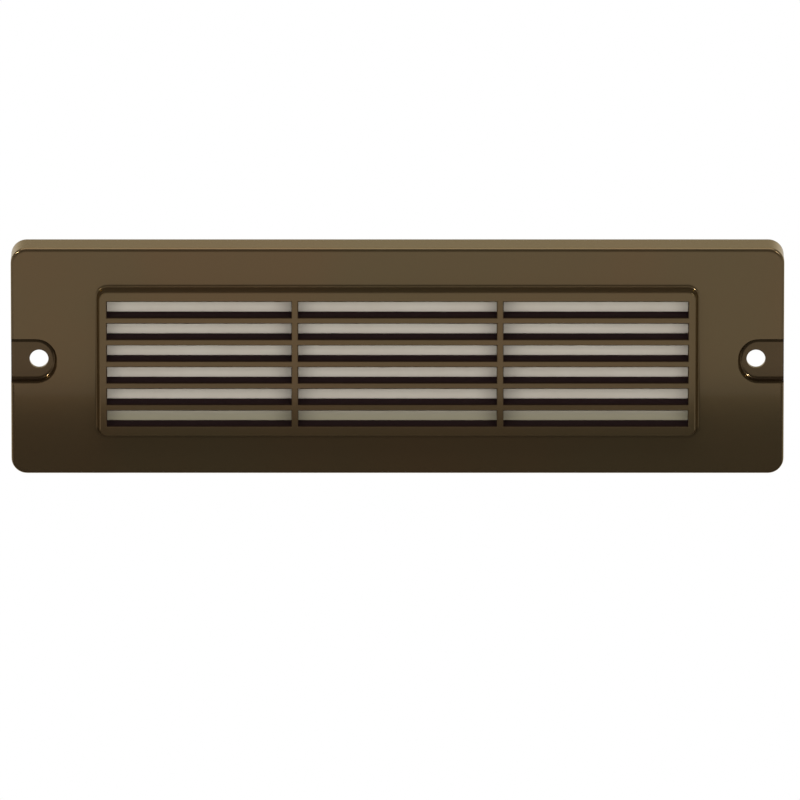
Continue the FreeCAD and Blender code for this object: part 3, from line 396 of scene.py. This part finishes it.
def frosted_glass():
    finish = Finish("frosted_glass", Specular_IOR_Level=0.4, IOR=1.5)
    mottle = finish.noise(per_metre=60.0, detail=4.0, roughness=0.6, seed=5.0).rising(*MOTTLE_ENDS)
    etch = finish.noise(per_metre=2500.0, detail=2.0, seed=6.0)
    pale = finish.mix(mottle, PALE, PALER)
    # Painted shade: the pane turns duller and yellower towards its bottom edge.
    unshaded = finish.axis("Z").rising(*SHADED_BAND)
    finish.feed(
        Base_Color=finish.mix(unshaded, LOW_BAND_SHADE, pale),
        Roughness=(ETCH_ROUGHNESS + ETCH_VARIATION * etch).limited(),
    )
    finish.bump(etch, depth_mm=0.01, strength=0.3)
    return finish.material


keep("frosted_glass", frosted_glass())

# %% [markdown]
# ## The finishes behind the plate
# These show only from behind or with the housing off. Plain colours would do for the photograph's view, but
# the part is used from all sides, so each finish gets the mark of how the piece is made: rolled sheet has
# fine lines along the roll, turned brass and steel have a faint grain, and moulded parts a soft texture.

# %% The metals
ROLL_STRETCH = (20.0, 900.0, 900.0)
SHEET_ROUGHNESS = 0.14
LINE_ROUGHNESS = 0.12
SMUDGE_ROUGHNESS = 0.08
TURNED_ROUGHNESS = 0.15
TARNISH_ROUGHNESS = 0.1
TARNISH_ENDS = (0.35, 0.75)


def rolled_sheet():
    finish = Finish("bright_rolled_sheet", Metallic=1.0)
    stretched = finish.node("ShaderNodeMapping", {}, {"Vector": finish.place, "Scale": ROLL_STRETCH})
    lines = finish.node("ShaderNodeTexNoise", {}, {"Vector": stretched, "Scale": 3.0, "Detail": 3.0})
    smudge = finish.noise(per_metre=25.0, detail=2.0, seed=8.0)
    finish.feed(
        Base_Color=finish.mix(smudge, colour(222, 223, 226), colour(236, 236, 238)),
        Roughness=(SHEET_ROUGHNESS + LINE_ROUGHNESS * lines + SMUDGE_ROUGHNESS * smudge).limited(),
    )
    finish.bump(lines, depth_mm=0.01, strength=0.15)
    return finish.material


def plain_metal(name, light, dark, roughness):
    finish = Finish(name, Metallic=1.0)
    grain = finish.noise(per_metre=1500.0, detail=2.0, seed=9.0)
    tarnish = finish.noise(per_metre=120.0, detail=3.0, seed=10.0).rising(*TARNISH_ENDS)
    finish.feed(
        Base_Color=finish.mix(tarnish, light, dark),
        Roughness=(roughness + TURNED_ROUGHNESS * grain + TARNISH_ROUGHNESS * tarnish).limited(),
    )
    finish.bump(grain, depth_mm=0.008, strength=0.2)
    return finish.material


keep("polished_sheet", rolled_sheet())
keep("steel", plain_metal("stainless_steel", colour(200, 200, 202), colour(176, 176, 178), roughness=0.25))
keep("brass", plain_metal("brass", colour(214, 184, 118), colour(186, 152, 92), roughness=0.28))
keep("tungsten", plain_metal("tungsten", colour(110, 110, 114), colour(80, 80, 84), roughness=0.4))

# %% The moulded plastics, rubbers, ceramic and insulation
MOULD_TEXTURE = 1800.0
GLAZE_TEXTURE = 600.0
GLAZE = 0.6
MOULD_ROUGHNESS = 0.12


def moulded(name, base, shade, roughness, per_metre=MOULD_TEXTURE, coat=0.0):
    finish = Finish(name, Coat_Roughness=0.15, Coat_Weight=coat)
    texture = finish.noise(per_metre, detail=2.0, seed=11.0)
    cloud = finish.noise(per_metre=90.0, detail=3.0, seed=12.0)
    finish.feed(
        Base_Color=finish.mix(cloud, base, shade),
        Roughness=(roughness + MOULD_ROUGHNESS * texture).limited(),
    )
    finish.bump(texture, depth_mm=0.02, strength=0.25)
    return finish.material


MOULDED = {
    "silicone": ("silicone", colour(205, 203, 196), colour(192, 190, 182), 0.5),
    "black_rubber": ("black_rubber", colour(28, 28, 28), colour(36, 35, 34), 0.7),
    "lead_insulation": ("lead_sleeving", colour(228, 226, 220), colour(214, 211, 203), 0.45),
    "block_nylon": ("natural_nylon", colour(226, 222, 208), colour(214, 208, 192), 0.5),
    "gland_nylon": ("black_nylon", colour(22, 22, 23), colour(30, 30, 31), 0.35),
}
for material_slot, (name, base, shade, roughness) in MOULDED.items():
    keep(material_slot, moulded(name, base, shade, roughness))
ceramic = moulded(
    "glazed_ceramic",
    colour(232, 228, 218),
    colour(222, 216, 204),
    roughness=0.3,
    per_metre=GLAZE_TEXTURE,
    coat=GLAZE,
)
keep("socket_ceramic", ceramic)

# %% The lamps' clear glass
GLASS_ROUGHNESS = 0.01
HAZE_ROUGHNESS = 0.03


def clear_glass():
    finish = Finish("clear_lamp_glass", Transmission_Weight=1.0, IOR=1.47)
    haze = finish.noise(per_metre=200.0, detail=2.0, seed=13.0)
    finish.feed(
        Base_Color=finish.mix(haze, colour(245, 247, 247), colour(252, 252, 252)),
        Roughness=(GLASS_ROUGHNESS + HAZE_ROUGHNESS * haze).limited(),
    )
    return finish.material


keep("lamp_glass", clear_glass())

# %% Give each CAD node its finish
slot_of = {entry["node"]: entry["material_slot"] for entry in frame["record"]["subparts"]}
for name, node in nodes.items():
    node.data.materials.clear()
    node.data.materials.append(FINISHES[slot_of[name]])
print(len(FINISHES), "finishes on", len(nodes), "nodes")

# %% [markdown]
# ## Shapes that follow a rule
# A screw's thread and a lamp's coil are the same thing at two sizes: a profile carried along a helix. They
# could be wound point by point in a loop, but Geometry Nodes make both from a few named sizes. `Recipe` is
# the tree. `grow` gives it the places and the sizes, takes the result as a plain mesh and removes the
# modifier, so that what is left is a fixed piece. `settle` hands the piece over to the frame: it says which
# body the piece moves with, and which plain node it stands in for.

# %% A recipe
WIRE_SIDES = 16
HELIX_STEPS = 16
TURNED_SIDES = 32


class Recipe(Network):
    """A Geometry Nodes tree whose sizes are named inputs."""

    def __init__(self, name):
        self.tree = bpy.data.node_groups.new(name, "GeometryNodeTree")
        self.places = self.ask("Places", "NodeSocketGeometry")

    def ask(self, label, kind="NodeSocketFloat"):
        """A new input of the tree, as a signal."""
        self.tree.interface.new_socket(label, in_out="INPUT", socket_type=kind)
        return self.node("NodeGroupInput", {}, {}, output=label)

    def point(self, x=0.0, y=0.0, z=0.0):
        return self.node("ShaderNodeCombineXYZ", {}, {0: x, 1: y, 2: z})

    def moved(self, shape, offset):
        return self.node("GeometryNodeTransform", {}, {"Geometry": shape, "Translation": offset})

    def joined(self, *shapes):
        return self.node("GeometryNodeJoinGeometry", {}, {0: list(shapes)})

    def rod(self, start, end, radius):
        """A round wire between two points."""
        line = self.node("GeometryNodeCurvePrimitiveLine", {}, {"Start": start, "End": end})
        return self.carried(line, radius, WIRE_SIDES)

    def carried(self, path, radius, sides):
        """A profile with this many sides, carried along a path, with its ends closed."""
        ring = self.node("GeometryNodeCurvePrimitiveCircle", {}, {"Resolution": sides, "Radius": radius})
        values = {"Curve": path, "Profile Curve": ring, "Fill Caps": True}
        return self.node("GeometryNodeCurveToMesh", {}, values)

    def helix(self, radius, rise, turns):
        values = {
            "Resolution": HELIX_STEPS,
            "Rotations": turns,
            "Start Radius": radius,
            "End Radius": radius,
            "Height": rise,
        }
        return self.node("GeometryNodeCurveSpiral", {}, values)

    def cone(self, low_radius, high_radius, height):
        values = {
            "Vertices": TURNED_SIDES,
            "Radius Bottom": low_radius,
            "Radius Top": high_radius,
            "Depth": height,
        }
        return self.node("GeometryNodeMeshCone", {}, values)

    def end(self, shape, turn):
        """A copy of the shape at every place, each turned alike, as one real mesh in the asked material."""
        spots = self.node("GeometryNodeMeshToPoints", {}, {"Mesh": self.places})
        values = {"Points": spots, "Instance": shape, "Rotation": turn}
        copies = self.node("GeometryNodeInstanceOnPoints", {}, values)
        real = self.node("GeometryNodeRealizeInstances", {}, {0: copies})
        finish = self.ask("Finish", "NodeSocketMaterial")
        done = self.node("GeometryNodeSetMaterial", {}, {"Geometry": real, "Material": finish})
        self.tree.interface.new_socket("Shape", in_out="OUTPUT", socket_type="NodeSocketGeometry")
        self.node("NodeGroupOutput", {}, {"Shape": done})


# %% Handing a finished piece over to the frame
SHARP_ANGLE = math.radians(40.0)
body_of_node = {}
for body, members in frame["record"]["behaviour"]["bodies"].items():
    for member in members:
        body_of_node[member] = body


def settle(piece, node):
    """The piece rides on the body of a CAD node, and takes that node's place."""
    for polygon in piece.data.polygons:
        polygon.use_smooth = True
    piece.data.set_sharp_from_angle(angle=SHARP_ANGLE)
    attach(piece, body_of_node[node])
    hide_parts(node)
    corners = [v.co for v in piece.data.vertices]
    low = [round(min(c[i] for c in corners) / MM, 2) for i in range(3)]
    high = [round(max(c[i] for c in corners) / MM, 2) for i in range(3)]
    print(piece.name, low, high, len(piece.data.polygons), "faces")


print("bodies:", sorted(set(body_of_node.values())))

# %% Growing a piece from a recipe
def grow(recipe, name, node, places, **sizes):
    """One piece: the recipe's shape at these places in millimetres, with its sizes in metres."""
    mesh = bpy.data.meshes.new(name)
    mesh.from_pydata([[value * MM for value in place] for place in places], [], [])
    piece = bpy.data.objects.new(name, mesh)
    scene.collection.objects.link(piece)
    modifier = piece.modifiers.new("shape", "NODES")
    modifier.node_group = recipe.tree
    sizes["Finish"] = FINISHES[slot_of[node]]
    for item in recipe.tree.interface.items_tree:
        label = item.name.replace(" ", "_")
        if item.in_out == "INPUT" and label in sizes:
            modifier[item.identifier] = sizes[label]
    graph = bpy.context.evaluated_depsgraph_get()
    piece.data = bpy.data.meshes.new_from_object(piece.evaluated_get(graph))
    piece.modifiers.clear()
    settle(piece, node)


# %% [markdown]
# ## The screws
# Each screw is turned and rolled steel: a shank with a thread whose crest is its full size, a short lead-in
# cone, and a head with a cross recess that a driver fits. The countersunk ones hold the housing's flange to
# the cover, the pan heads hold the reflector and the terminal block. The thread is a helix round a slimmer
# core. The recess could be drawn in the head's faces, but it is cut with two crossed blocks by a Mesh
# Boolean, as a real one is punched. The turned parts meet in flat faces, where the default solver leaves the
# head open. The Manifold solver closes it.

# %% The screw recipe
LEAD_IN_TO_THREAD = 1.5
BLADE_TO_REACH = 0.32
THREAD_SIDES = 4


def screw_recipe():
    recipe = Recipe("cross_recess_screw")
    radius = recipe.ask("Shank Radius")
    length = recipe.ask("Shank Length")
    depth = recipe.ask("Thread Depth")
    pitch = recipe.ask("Pitch")
    head_low = recipe.ask("Head Low Radius")
    head_middle = recipe.ask("Head Middle Radius")
    head_high = recipe.ask("Head High Radius")
    head_height = recipe.ask("Head Height")
    head_foot = recipe.ask("Head Foot")
    plain = recipe.ask("Plain Length")
    recess = recipe.ask("Recess Depth")
    reach = recipe.ask("Recess Reach")
    turn = recipe.ask("Turn", "NodeSocketVector")
    core = radius - depth
    tip = LEAD_IN_TO_THREAD * depth
    half = head_height / 2
    lower = recipe.moved(recipe.cone(head_low, head_middle, half), recipe.point(z=head_foot))
    upper = recipe.moved(recipe.cone(head_middle, head_high, half), recipe.point(z=head_foot + half))
    shank_height = length - tip + head_foot + half
    shank = recipe.moved(recipe.cone(core, core, shank_height), recipe.point(z=tip - length))
    lead_in = recipe.moved(recipe.cone(core - depth, core, tip), recipe.point(z=0 - length))
    fused = {"operation": "UNION", "solver": "MANIFOLD"}
    blank = recipe.node("GeometryNodeMeshBoolean", fused, {"Mesh 2": [lower, upper, shank, lead_in]})
    top = head_foot + head_height
    blade = reach * BLADE_TO_REACH
    blocks = []
    for across, along in ((reach, blade), (blade, reach)):
        size = recipe.point(across * 2, along * 2, recess * 2)
        block = recipe.node("GeometryNodeMeshCube", {}, {"Size": size})
        blocks.append(recipe.moved(block, recipe.point(z=top)))
    punched = {"operation": "DIFFERENCE", "solver": "MANIFOLD"}
    cut = recipe.node("GeometryNodeMeshBoolean", punched, {"Mesh 1": blank, "Mesh 2": blocks})
    run = length - tip - plain
    path = recipe.moved(recipe.helix(core, run, run / pitch), recipe.point(z=tip - length))
    thread = recipe.carried(path, depth, THREAD_SIDES)
    recipe.end(recipe.joined(cut, thread), turn)
    return recipe


screw = screw_recipe()
HEAD_TO_REAR = (-math.pi / 2, 0.0, 0.0)
HEAD_TO_FRONT = (math.pi / 2, 0.0, 0.0)
print("screw recipe:", len(screw.tree.nodes), "nodes")

# %% Where the screws are, in millimetres
FLANGE_BACK = 8.3
REFLECTOR_LIP = 8.3
BLOCK_TOP = 36.8
HOUSING_SCREW = (70.0, 26.7575)
REFLECTOR_SCREW = (75.5, 14.0)


def four(across, up, depth):
    """Four places, one in each corner."""
    return [(x * across, depth, z * up) for x in (-1, 1) for z in (-1, 1)]


print("housing screws at", four(*HOUSING_SCREW, FLANGE_BACK))

# %% Four countersunk housing screws
grow(
    screw,
    "threaded_housing_screws",
    "housing_screws",
    four(*HOUSING_SCREW, FLANGE_BACK),
    Shank_Radius=1.5 * MM,
    Shank_Length=8.0 * MM,
    Thread_Depth=0.3 * MM,
    Pitch=0.7 * MM,
    Head_Low_Radius=1.3 * MM,
    Head_Middle_Radius=2.0 * MM,
    Head_High_Radius=2.75 * MM,
    Head_Height=1.5 * MM,
    Head_Foot=-1.5 * MM,
    Plain_Length=1.6 * MM,
    Recess_Depth=0.8 * MM,
    Recess_Reach=1.5 * MM,
    Turn=HEAD_TO_REAR,
)

# %% Four pan heads in the reflector, and one in the terminal block
PAN = {"Head_Foot": 0.0, "Plain_Length": 0.7 * MM, "Turn": HEAD_TO_FRONT}
grow(
    screw,
    "threaded_reflector_screws",
    "reflector_screws",
    four(*REFLECTOR_SCREW, REFLECTOR_LIP),
    Shank_Radius=1.2 * MM,
    Shank_Length=8.0 * MM,
    Thread_Depth=0.25 * MM,
    Pitch=0.8 * MM,
    Head_Low_Radius=2.3 * MM,
    Head_Middle_Radius=2.15 * MM,
    Head_High_Radius=1.5 * MM,
    Head_Height=1.4 * MM,
    Recess_Depth=0.75 * MM,
    Recess_Reach=1.25 * MM,
    **PAN,
)
grow(
    screw,
    "threaded_block_screw",
    "block_screw",
    [(0.0, BLOCK_TOP, 0.0)],
    Shank_Radius=1.4 * MM,
    Shank_Length=17.0 * MM,
    Thread_Depth=0.3 * MM,
    Pitch=0.7 * MM,
    Head_Low_Radius=2.6 * MM,
    Head_Middle_Radius=2.4 * MM,
    Head_High_Radius=1.7 * MM,
    Head_Height=1.8 * MM,
    Recess_Depth=0.95 * MM,
    Recess_Reach=1.4 * MM,
    **PAN,
)

# %% [markdown]
# ## The lamps' filaments
# A wedge-base lamp has a tungsten wire wound into a fine coil, with its ends crimped to two lead-in wires. A
# coil could be a rod with a striped bump, but it is small and bare, and a rod would look like one. It is the
# same helix as the thread, with a round wire instead of a pointed crest.

# %% The filament recipe
COIL_WIRE_SIDES = 8


def filament_recipe():
    recipe = Recipe("coiled_filament")
    coil_radius = recipe.ask("Coil Radius")
    wire_radius = recipe.ask("Wire Radius")
    span = recipe.ask("Half Span")
    turns = recipe.ask("Turns")
    lead_radius = recipe.ask("Lead In Radius")
    lead_spread = recipe.ask("Lead In Spread")
    lead_length = recipe.ask("Lead In Length")
    height = 2 * (span - wire_radius)
    path = recipe.moved(recipe.helix(coil_radius, height, turns), recipe.point(z=0 - height / 2))
    shapes = [recipe.carried(path, wire_radius, COIL_WIRE_SIDES)]
    for level in (-1, 1):
        crimp = recipe.point(z=level * lead_spread)
        foot = recipe.point(lead_length, 0.0, level * lead_spread)
        shapes.append(recipe.rod(crimp, foot, lead_radius))
    recipe.end(recipe.joined(*shapes), (0.0, 0.0, 0.0))
    return recipe


filament = filament_recipe()
print("filament recipe:", len(filament.tree.nodes), "nodes")

# %% A filament for each lamp
LAMP_AXIS = 17.8
COIL_FROM_MIDDLE = 45.5
SIDES = (("left", -1), ("right", 1))
for name, side in SIDES:
    grow(
        filament,
        f"coiled_filament_{name}",
        f"filament_{name}",
        [(side * COIL_FROM_MIDDLE, LAMP_AXIS, 0.0)],
        Coil_Radius=0.45 * MM,
        Wire_Radius=0.09 * MM,
        Half_Span=2.6 * MM,
        Turns=20.0,
        Lead_In_Radius=0.3 * MM,
        Lead_In_Spread=2.0 * MM,
        Lead_In_Length=side * 14.0 * MM,
    )

# %% [markdown]
# ## The lamps' glass
# The envelope is a blown tube: a round nose, a straight body, and a hot end that is pressed flat round the
# lead-in wires. It could be spun from a profile, but the pinch isn't round. So a section table says how deep,
# how high and how square the tube is at each place, and the skin is drawn from ring to ring. An inner skin
# makes the wall, so that light bends twice, as in real glass.

# %% Sections of the glass, from the pinch to the nose
# Each row has the place along the lamp, half the depth and half the height, in millimetres, and how square
# the section is: 2 is round.
NOSE_CENTRE = 38.9
NOSE_RINGS = 9
OUTER_RADIUS = 7.75
OUTER_NOSE = 5.8
INNER_RADIUS = 6.95
INNER_NOSE = 5.0


def nose(radius, length):
    """Round rings that shrink along a quarter of an ellipse."""
    rings = []
    for step in range(NOSE_RINGS):
        angle = math.pi / 2 * step / NOSE_RINGS
        size = radius * math.cos(angle)
        rings.append((NOSE_CENTRE - length * math.sin(angle), size, size, 2.0))
    return rings


OUTER_SKIN = [
    (70.1, 1.0, 4.5, 6.0),
    (69.8, 1.25, 4.75, 6.0),
    (62.8, 1.25, 4.75, 6.0),
    (62.1, 1.9, 4.9, 3.5),
    (61.5, 3.2, 5.3, 2.8),
    (60.8, 4.9, 6.0, 2.4),
    (60.0, 6.5, 6.9, 2.1),
    (59.1, 7.4, 7.5, 2.0),
    (57.8, OUTER_RADIUS, OUTER_RADIUS, 2.0),
    *nose(OUTER_RADIUS, OUTER_NOSE),
]
INNER_SKIN = [
    (59.2, 0.5, 3.0, 2.0),
    (58.9, 2.6, 4.4, 2.0),
    (58.2, 4.8, 5.6, 2.0),
    (57.2, 6.4, 6.6, 2.0),
    (56.0, INNER_RADIUS, INNER_RADIUS, 2.0),
    *nose(INNER_RADIUS, INNER_NOSE),
]
print("rings of glass:", len(OUTER_SKIN), "outside,", len(INNER_SKIN), "inside")

# %% Drawing a skin
RING_POINTS = 48


def rounded(value, squareness):
    """A sine or cosine, bent so that the circle it draws turns squarer."""
    return math.copysign(abs(value) ** (2.0 / squareness), value)


def add_skin(mesh, sections, tip, side, inward):
    """One closed skin. The rings run from the pinch to the nose, with a pole at each end."""
    rings = []
    for x, deep, high, squareness in sections:
        ring = []
        for index in range(RING_POINTS):
            angle = 2 * math.pi * index / RING_POINTS
            y = LAMP_AXIS + deep * rounded(math.cos(angle), squareness)
            z = high * rounded(math.sin(angle), squareness)
            ring.append(mesh.verts.new((side * x * MM, y * MM, z * MM)))
        rings.append(ring)
    first = mesh.verts.new((side * sections[0][0] * MM, LAMP_AXIS * MM, 0.0))
    last = mesh.verts.new((side * tip * MM, LAMP_AXIS * MM, 0.0))
    flip = (side < 0) != inward
    for index in range(RING_POINTS):
        after = (index + 1) % RING_POINTS
        faces = [(first, rings[0][index], rings[0][after]), (last, rings[-1][after], rings[-1][index])]
        for near, far in zip(rings, rings[1:]):
            faces.append((near[index], far[index], far[after], near[after]))
        for corners in faces:
            mesh.faces.new(corners[::-1] if flip else corners)


# %% Blow both envelopes
for name, side in SIDES:
    node = f"lamp_{name}"
    glass = bmesh.new()
    add_skin(glass, OUTER_SKIN, NOSE_CENTRE - OUTER_NOSE, side, inward=False)
    add_skin(glass, INNER_SKIN, NOSE_CENTRE - INNER_NOSE, side, inward=True)
    print(name, "glass volume:", round(glass.calc_volume(signed=True) / MM ** 3), "mm3")
    mesh = bpy.data.meshes.new(f"blown_glass_{name}")
    glass.to_mesh(mesh)
    glass.free()
    mesh.materials.append(FINISHES[slot_of[node]])
    envelope = bpy.data.objects.new(f"blown_glass_{name}", mesh)
    scene.collection.objects.link(envelope)
    settle(envelope, node)

# %% [markdown]
# ## The studio
# The photograph has a plain white ground and no shadow. More light on a grey floor would bleach the object
# too. So Light Path makes the floor and the world white to the camera and in glass, and leaves them quiet as
# sources of light. A glossy casting shows its shape by what it mirrors. Here the flat face mirrors the floor
# in front, which is white in reflections too, and its lower part mirrors a dark card. The strip along the top
# mirrors the pale studio behind the plate, and the panel's upper wall the dark studio high in front.

# %% The nodes of the floor, the card and the world
class Setting(Network):
    """The nodes of something round the object, which start from nothing."""

    def __init__(self, owner):
        owner.use_nodes = True
        self.tree = owner.node_tree
        self.tree.nodes.clear()

    def ray(self, kind):
        """1 for a ray of this kind, 0 for any other."""
        return self.node("ShaderNodeLightPath", {}, {}, output=f"Is {kind} Ray")

    def mix(self, mask, first, second):
        return self.node("ShaderNodeMix", {}, {0: mask, 2: first, 3: second})


# %% A ground that is white to the camera and in reflections
def white_ground(name, plain_level):
    """A floor finish that shows white, but lights the object no more than a pale floor does."""
    material = bpy.data.materials.new(name)
    ground = Setting(material)
    seen = (ground.ray("Camera") + ground.ray("Glossy") + ground.ray("Transmission")).limited()
    grey = (plain_level, plain_level, plain_level, 1.0)
    pale = ground.node("ShaderNodeBsdfDiffuse", {}, {"Color": grey})
    white = ground.node("ShaderNodeEmission", {}, {})
    shown = ground.node("ShaderNodeMixShader", {}, {0: seen, 1: pale, 2: white})
    under = ground.node("ShaderNodeNewGeometry", {}, {}, output="Backfacing")
    clear = ground.node("ShaderNodeBsdfTransparent", {}, {})
    faced = ground.node("ShaderNodeMixShader", {}, {0: under, 1: shown, 2: clear})
    ground.node("ShaderNodeOutputMaterial", {}, {"Surface": faced})
    return material


# %% The floor
FLOOR_DROP = 0.45
FLOOR_REACH = 6.0
FLOOR_LEVEL = 0.8
FLOOR_CORNERS = ((-1, -1), (1, -1), (1, 1), (-1, 1))

floor_z = cad_low.z - FLOOR_DROP
floor_mesh = bpy.data.meshes.new("floor")
floor_points = [(x * FLOOR_REACH, y * FLOOR_REACH, floor_z) for x, y in FLOOR_CORNERS]
floor_mesh.from_pydata(floor_points, [], [(0, 1, 2, 3)])
floor = bpy.data.objects.new("floor", floor_mesh)
scene.collection.objects.link(floor)
floor_mesh.materials.append(white_ground("white_floor", FLOOR_LEVEL))
print("floor at", round(floor_z, 3), "m")

# %% A dark card low in front, which only reflections see
FLAG_FORWARD = 100 * MM
FLAG_TOP = -35 * MM
FLAG_HEIGHT = 120 * MM
FLAG_FOOT = 160 * MM
FLAG_HALF_WIDTH = 400 * MM
FLAG_LEVEL = 0.08
UNSEEN_BY = ("camera", "diffuse", "transmission", "volume_scatter", "shadow")

flag_y = face_y - FLAG_FORWARD
flag_foot_z = FLAG_TOP - FLAG_HEIGHT
flag_line = [(flag_y, FLAG_TOP), (flag_y, flag_foot_z), (flag_y + FLAG_FOOT, flag_foot_z)]
flag_corners = [(x * FLAG_HALF_WIDTH, y, z) for x in (-1, 1) for y, z in flag_line]
flag_mesh = bpy.data.meshes.new("dark_card")
flag_mesh.from_pydata(flag_corners, [], [(0, 1, 4, 3), (1, 2, 5, 4)])
flag = bpy.data.objects.new("dark_card", flag_mesh)
scene.collection.objects.link(flag)
card_finish = bpy.data.materials.new("dark_card")
card = Setting(card_finish)
glow = card.node("ShaderNodeEmission", {}, {"Strength": FLAG_LEVEL})
card.node("ShaderNodeOutputMaterial", {}, {"Surface": glow})
flag_mesh.materials.append(card_finish)
for kind in UNSEEN_BY:
    setattr(flag, f"visible_{kind}", False)
print("card from", round(FLAG_TOP / MM), "to", round(flag_foot_z / MM), "mm")

# %% [markdown]
# The world is one formula on the direction that a ray looks in. The camera and glass see white. A reflection
# sees a pale horizon that fades upwards, lighter behind the plate than in front of it. Every other ray, the
# ones that light the object, sees one plain level.

# %% The world
PLAIN_LEVEL = 0.33
CEILING_LEVEL = 0.5
REAR_LEVEL = 1.0
REAR_FADE = (0.02, 0.30)
FRONT_LEVEL = 0.6
FRONT_TOP_LEVEL = 0.08
FRONT_FADE = (0.0, 0.4)
FRONT_TO_REAR = (-0.6, -0.1)

world = bpy.data.worlds.new("studio")
scene.world = world
studio = Setting(world)
direction = studio.node("ShaderNodeTexCoord", {}, {}, output="Generated")
rearward = studio.node("ShaderNodeSeparateXYZ", {}, {"Vector": direction}, output="Y")
skyward = studio.node("ShaderNodeSeparateXYZ", {}, {"Vector": direction}, output="Z")
front = skyward.rising(*FRONT_FADE, FRONT_LEVEL, FRONT_TOP_LEVEL)
rear = skyward.rising(*REAR_FADE, REAR_LEVEL, CEILING_LEVEL)
mirrored = studio.mix(rearward.rising(*FRONT_TO_REAR), front, rear)
unseen = studio.mix(studio.ray("Glossy"), PLAIN_LEVEL, mirrored)
seen = (studio.ray("Camera") + studio.ray("Transmission")).limited()
strength = studio.mix(seen, unseen, 1.0)
background = studio.node("ShaderNodeBackground", {}, {"Color": (1.0, 1.0, 1.0, 1.0), "Strength": strength})
studio.node("ShaderNodeOutputWorld", {}, {"Surface": background})
scene.view_settings.view_transform = "Standard"
print("world:", PLAIN_LEVEL, "for plain light")

# %% [markdown]
# ## The lamps
# Soft boxes are used because small lamps would draw hard shadows of the slats on the pane. A broad one hangs
# above and behind the plate. It lights the strip along the top, whose edge mirrors it as a bright line. One
# in front reaches deep into the louvres, one high in front lights the upper faces, and one behind lights the
# housing for a view from there. Those three are kept out of reflections. Two small lamps at the sides light
# no surface plainly, but glossy ones mirror them as the bright dots in the rounded corners.

# %% Hang the lamps
def soft_box(name, place, width, height, watts, target=(0.0, 0.0, 0.0)):
    data = bpy.data.lights.new(name, "AREA")
    data.shape = "RECTANGLE"
    data.size = width
    data.size_y = height
    data.energy = watts
    box = bpy.data.objects.new(name, data)
    box.location = place
    box.rotation_mode = "QUATERNION"
    box.rotation_quaternion = (Vector(target) - Vector(place)).to_track_quat("-Z", "Y")
    box.visible_camera = False
    scene.collection.objects.link(box)
    return box


soft_box("top_box", (0.0, 0.43, 0.70), width=0.9, height=0.9, watts=5.4, target=(0.0, 0.43, 0.0))
plain_boxes = [
    soft_box("front_box", (0.0, -0.60, 0.10), width=0.9, height=0.3, watts=2.0),
    soft_box("high_box", (0.0, -0.30, 0.60), width=0.9, height=0.3, watts=1.6),
    soft_box("rear_box", (0.0, 0.70, 0.02), width=0.9, height=0.5, watts=2.6),
]
for box in plain_boxes:
    box.visible_glossy = False
for side in (-1, 1):
    glint = soft_box(f"glint_{side}", (side * 0.42, -0.10, 0.30), width=0.03, height=0.03, watts=1.1)
    glint.visible_diffuse = False
print("lamps:", len(bpy.data.lights))
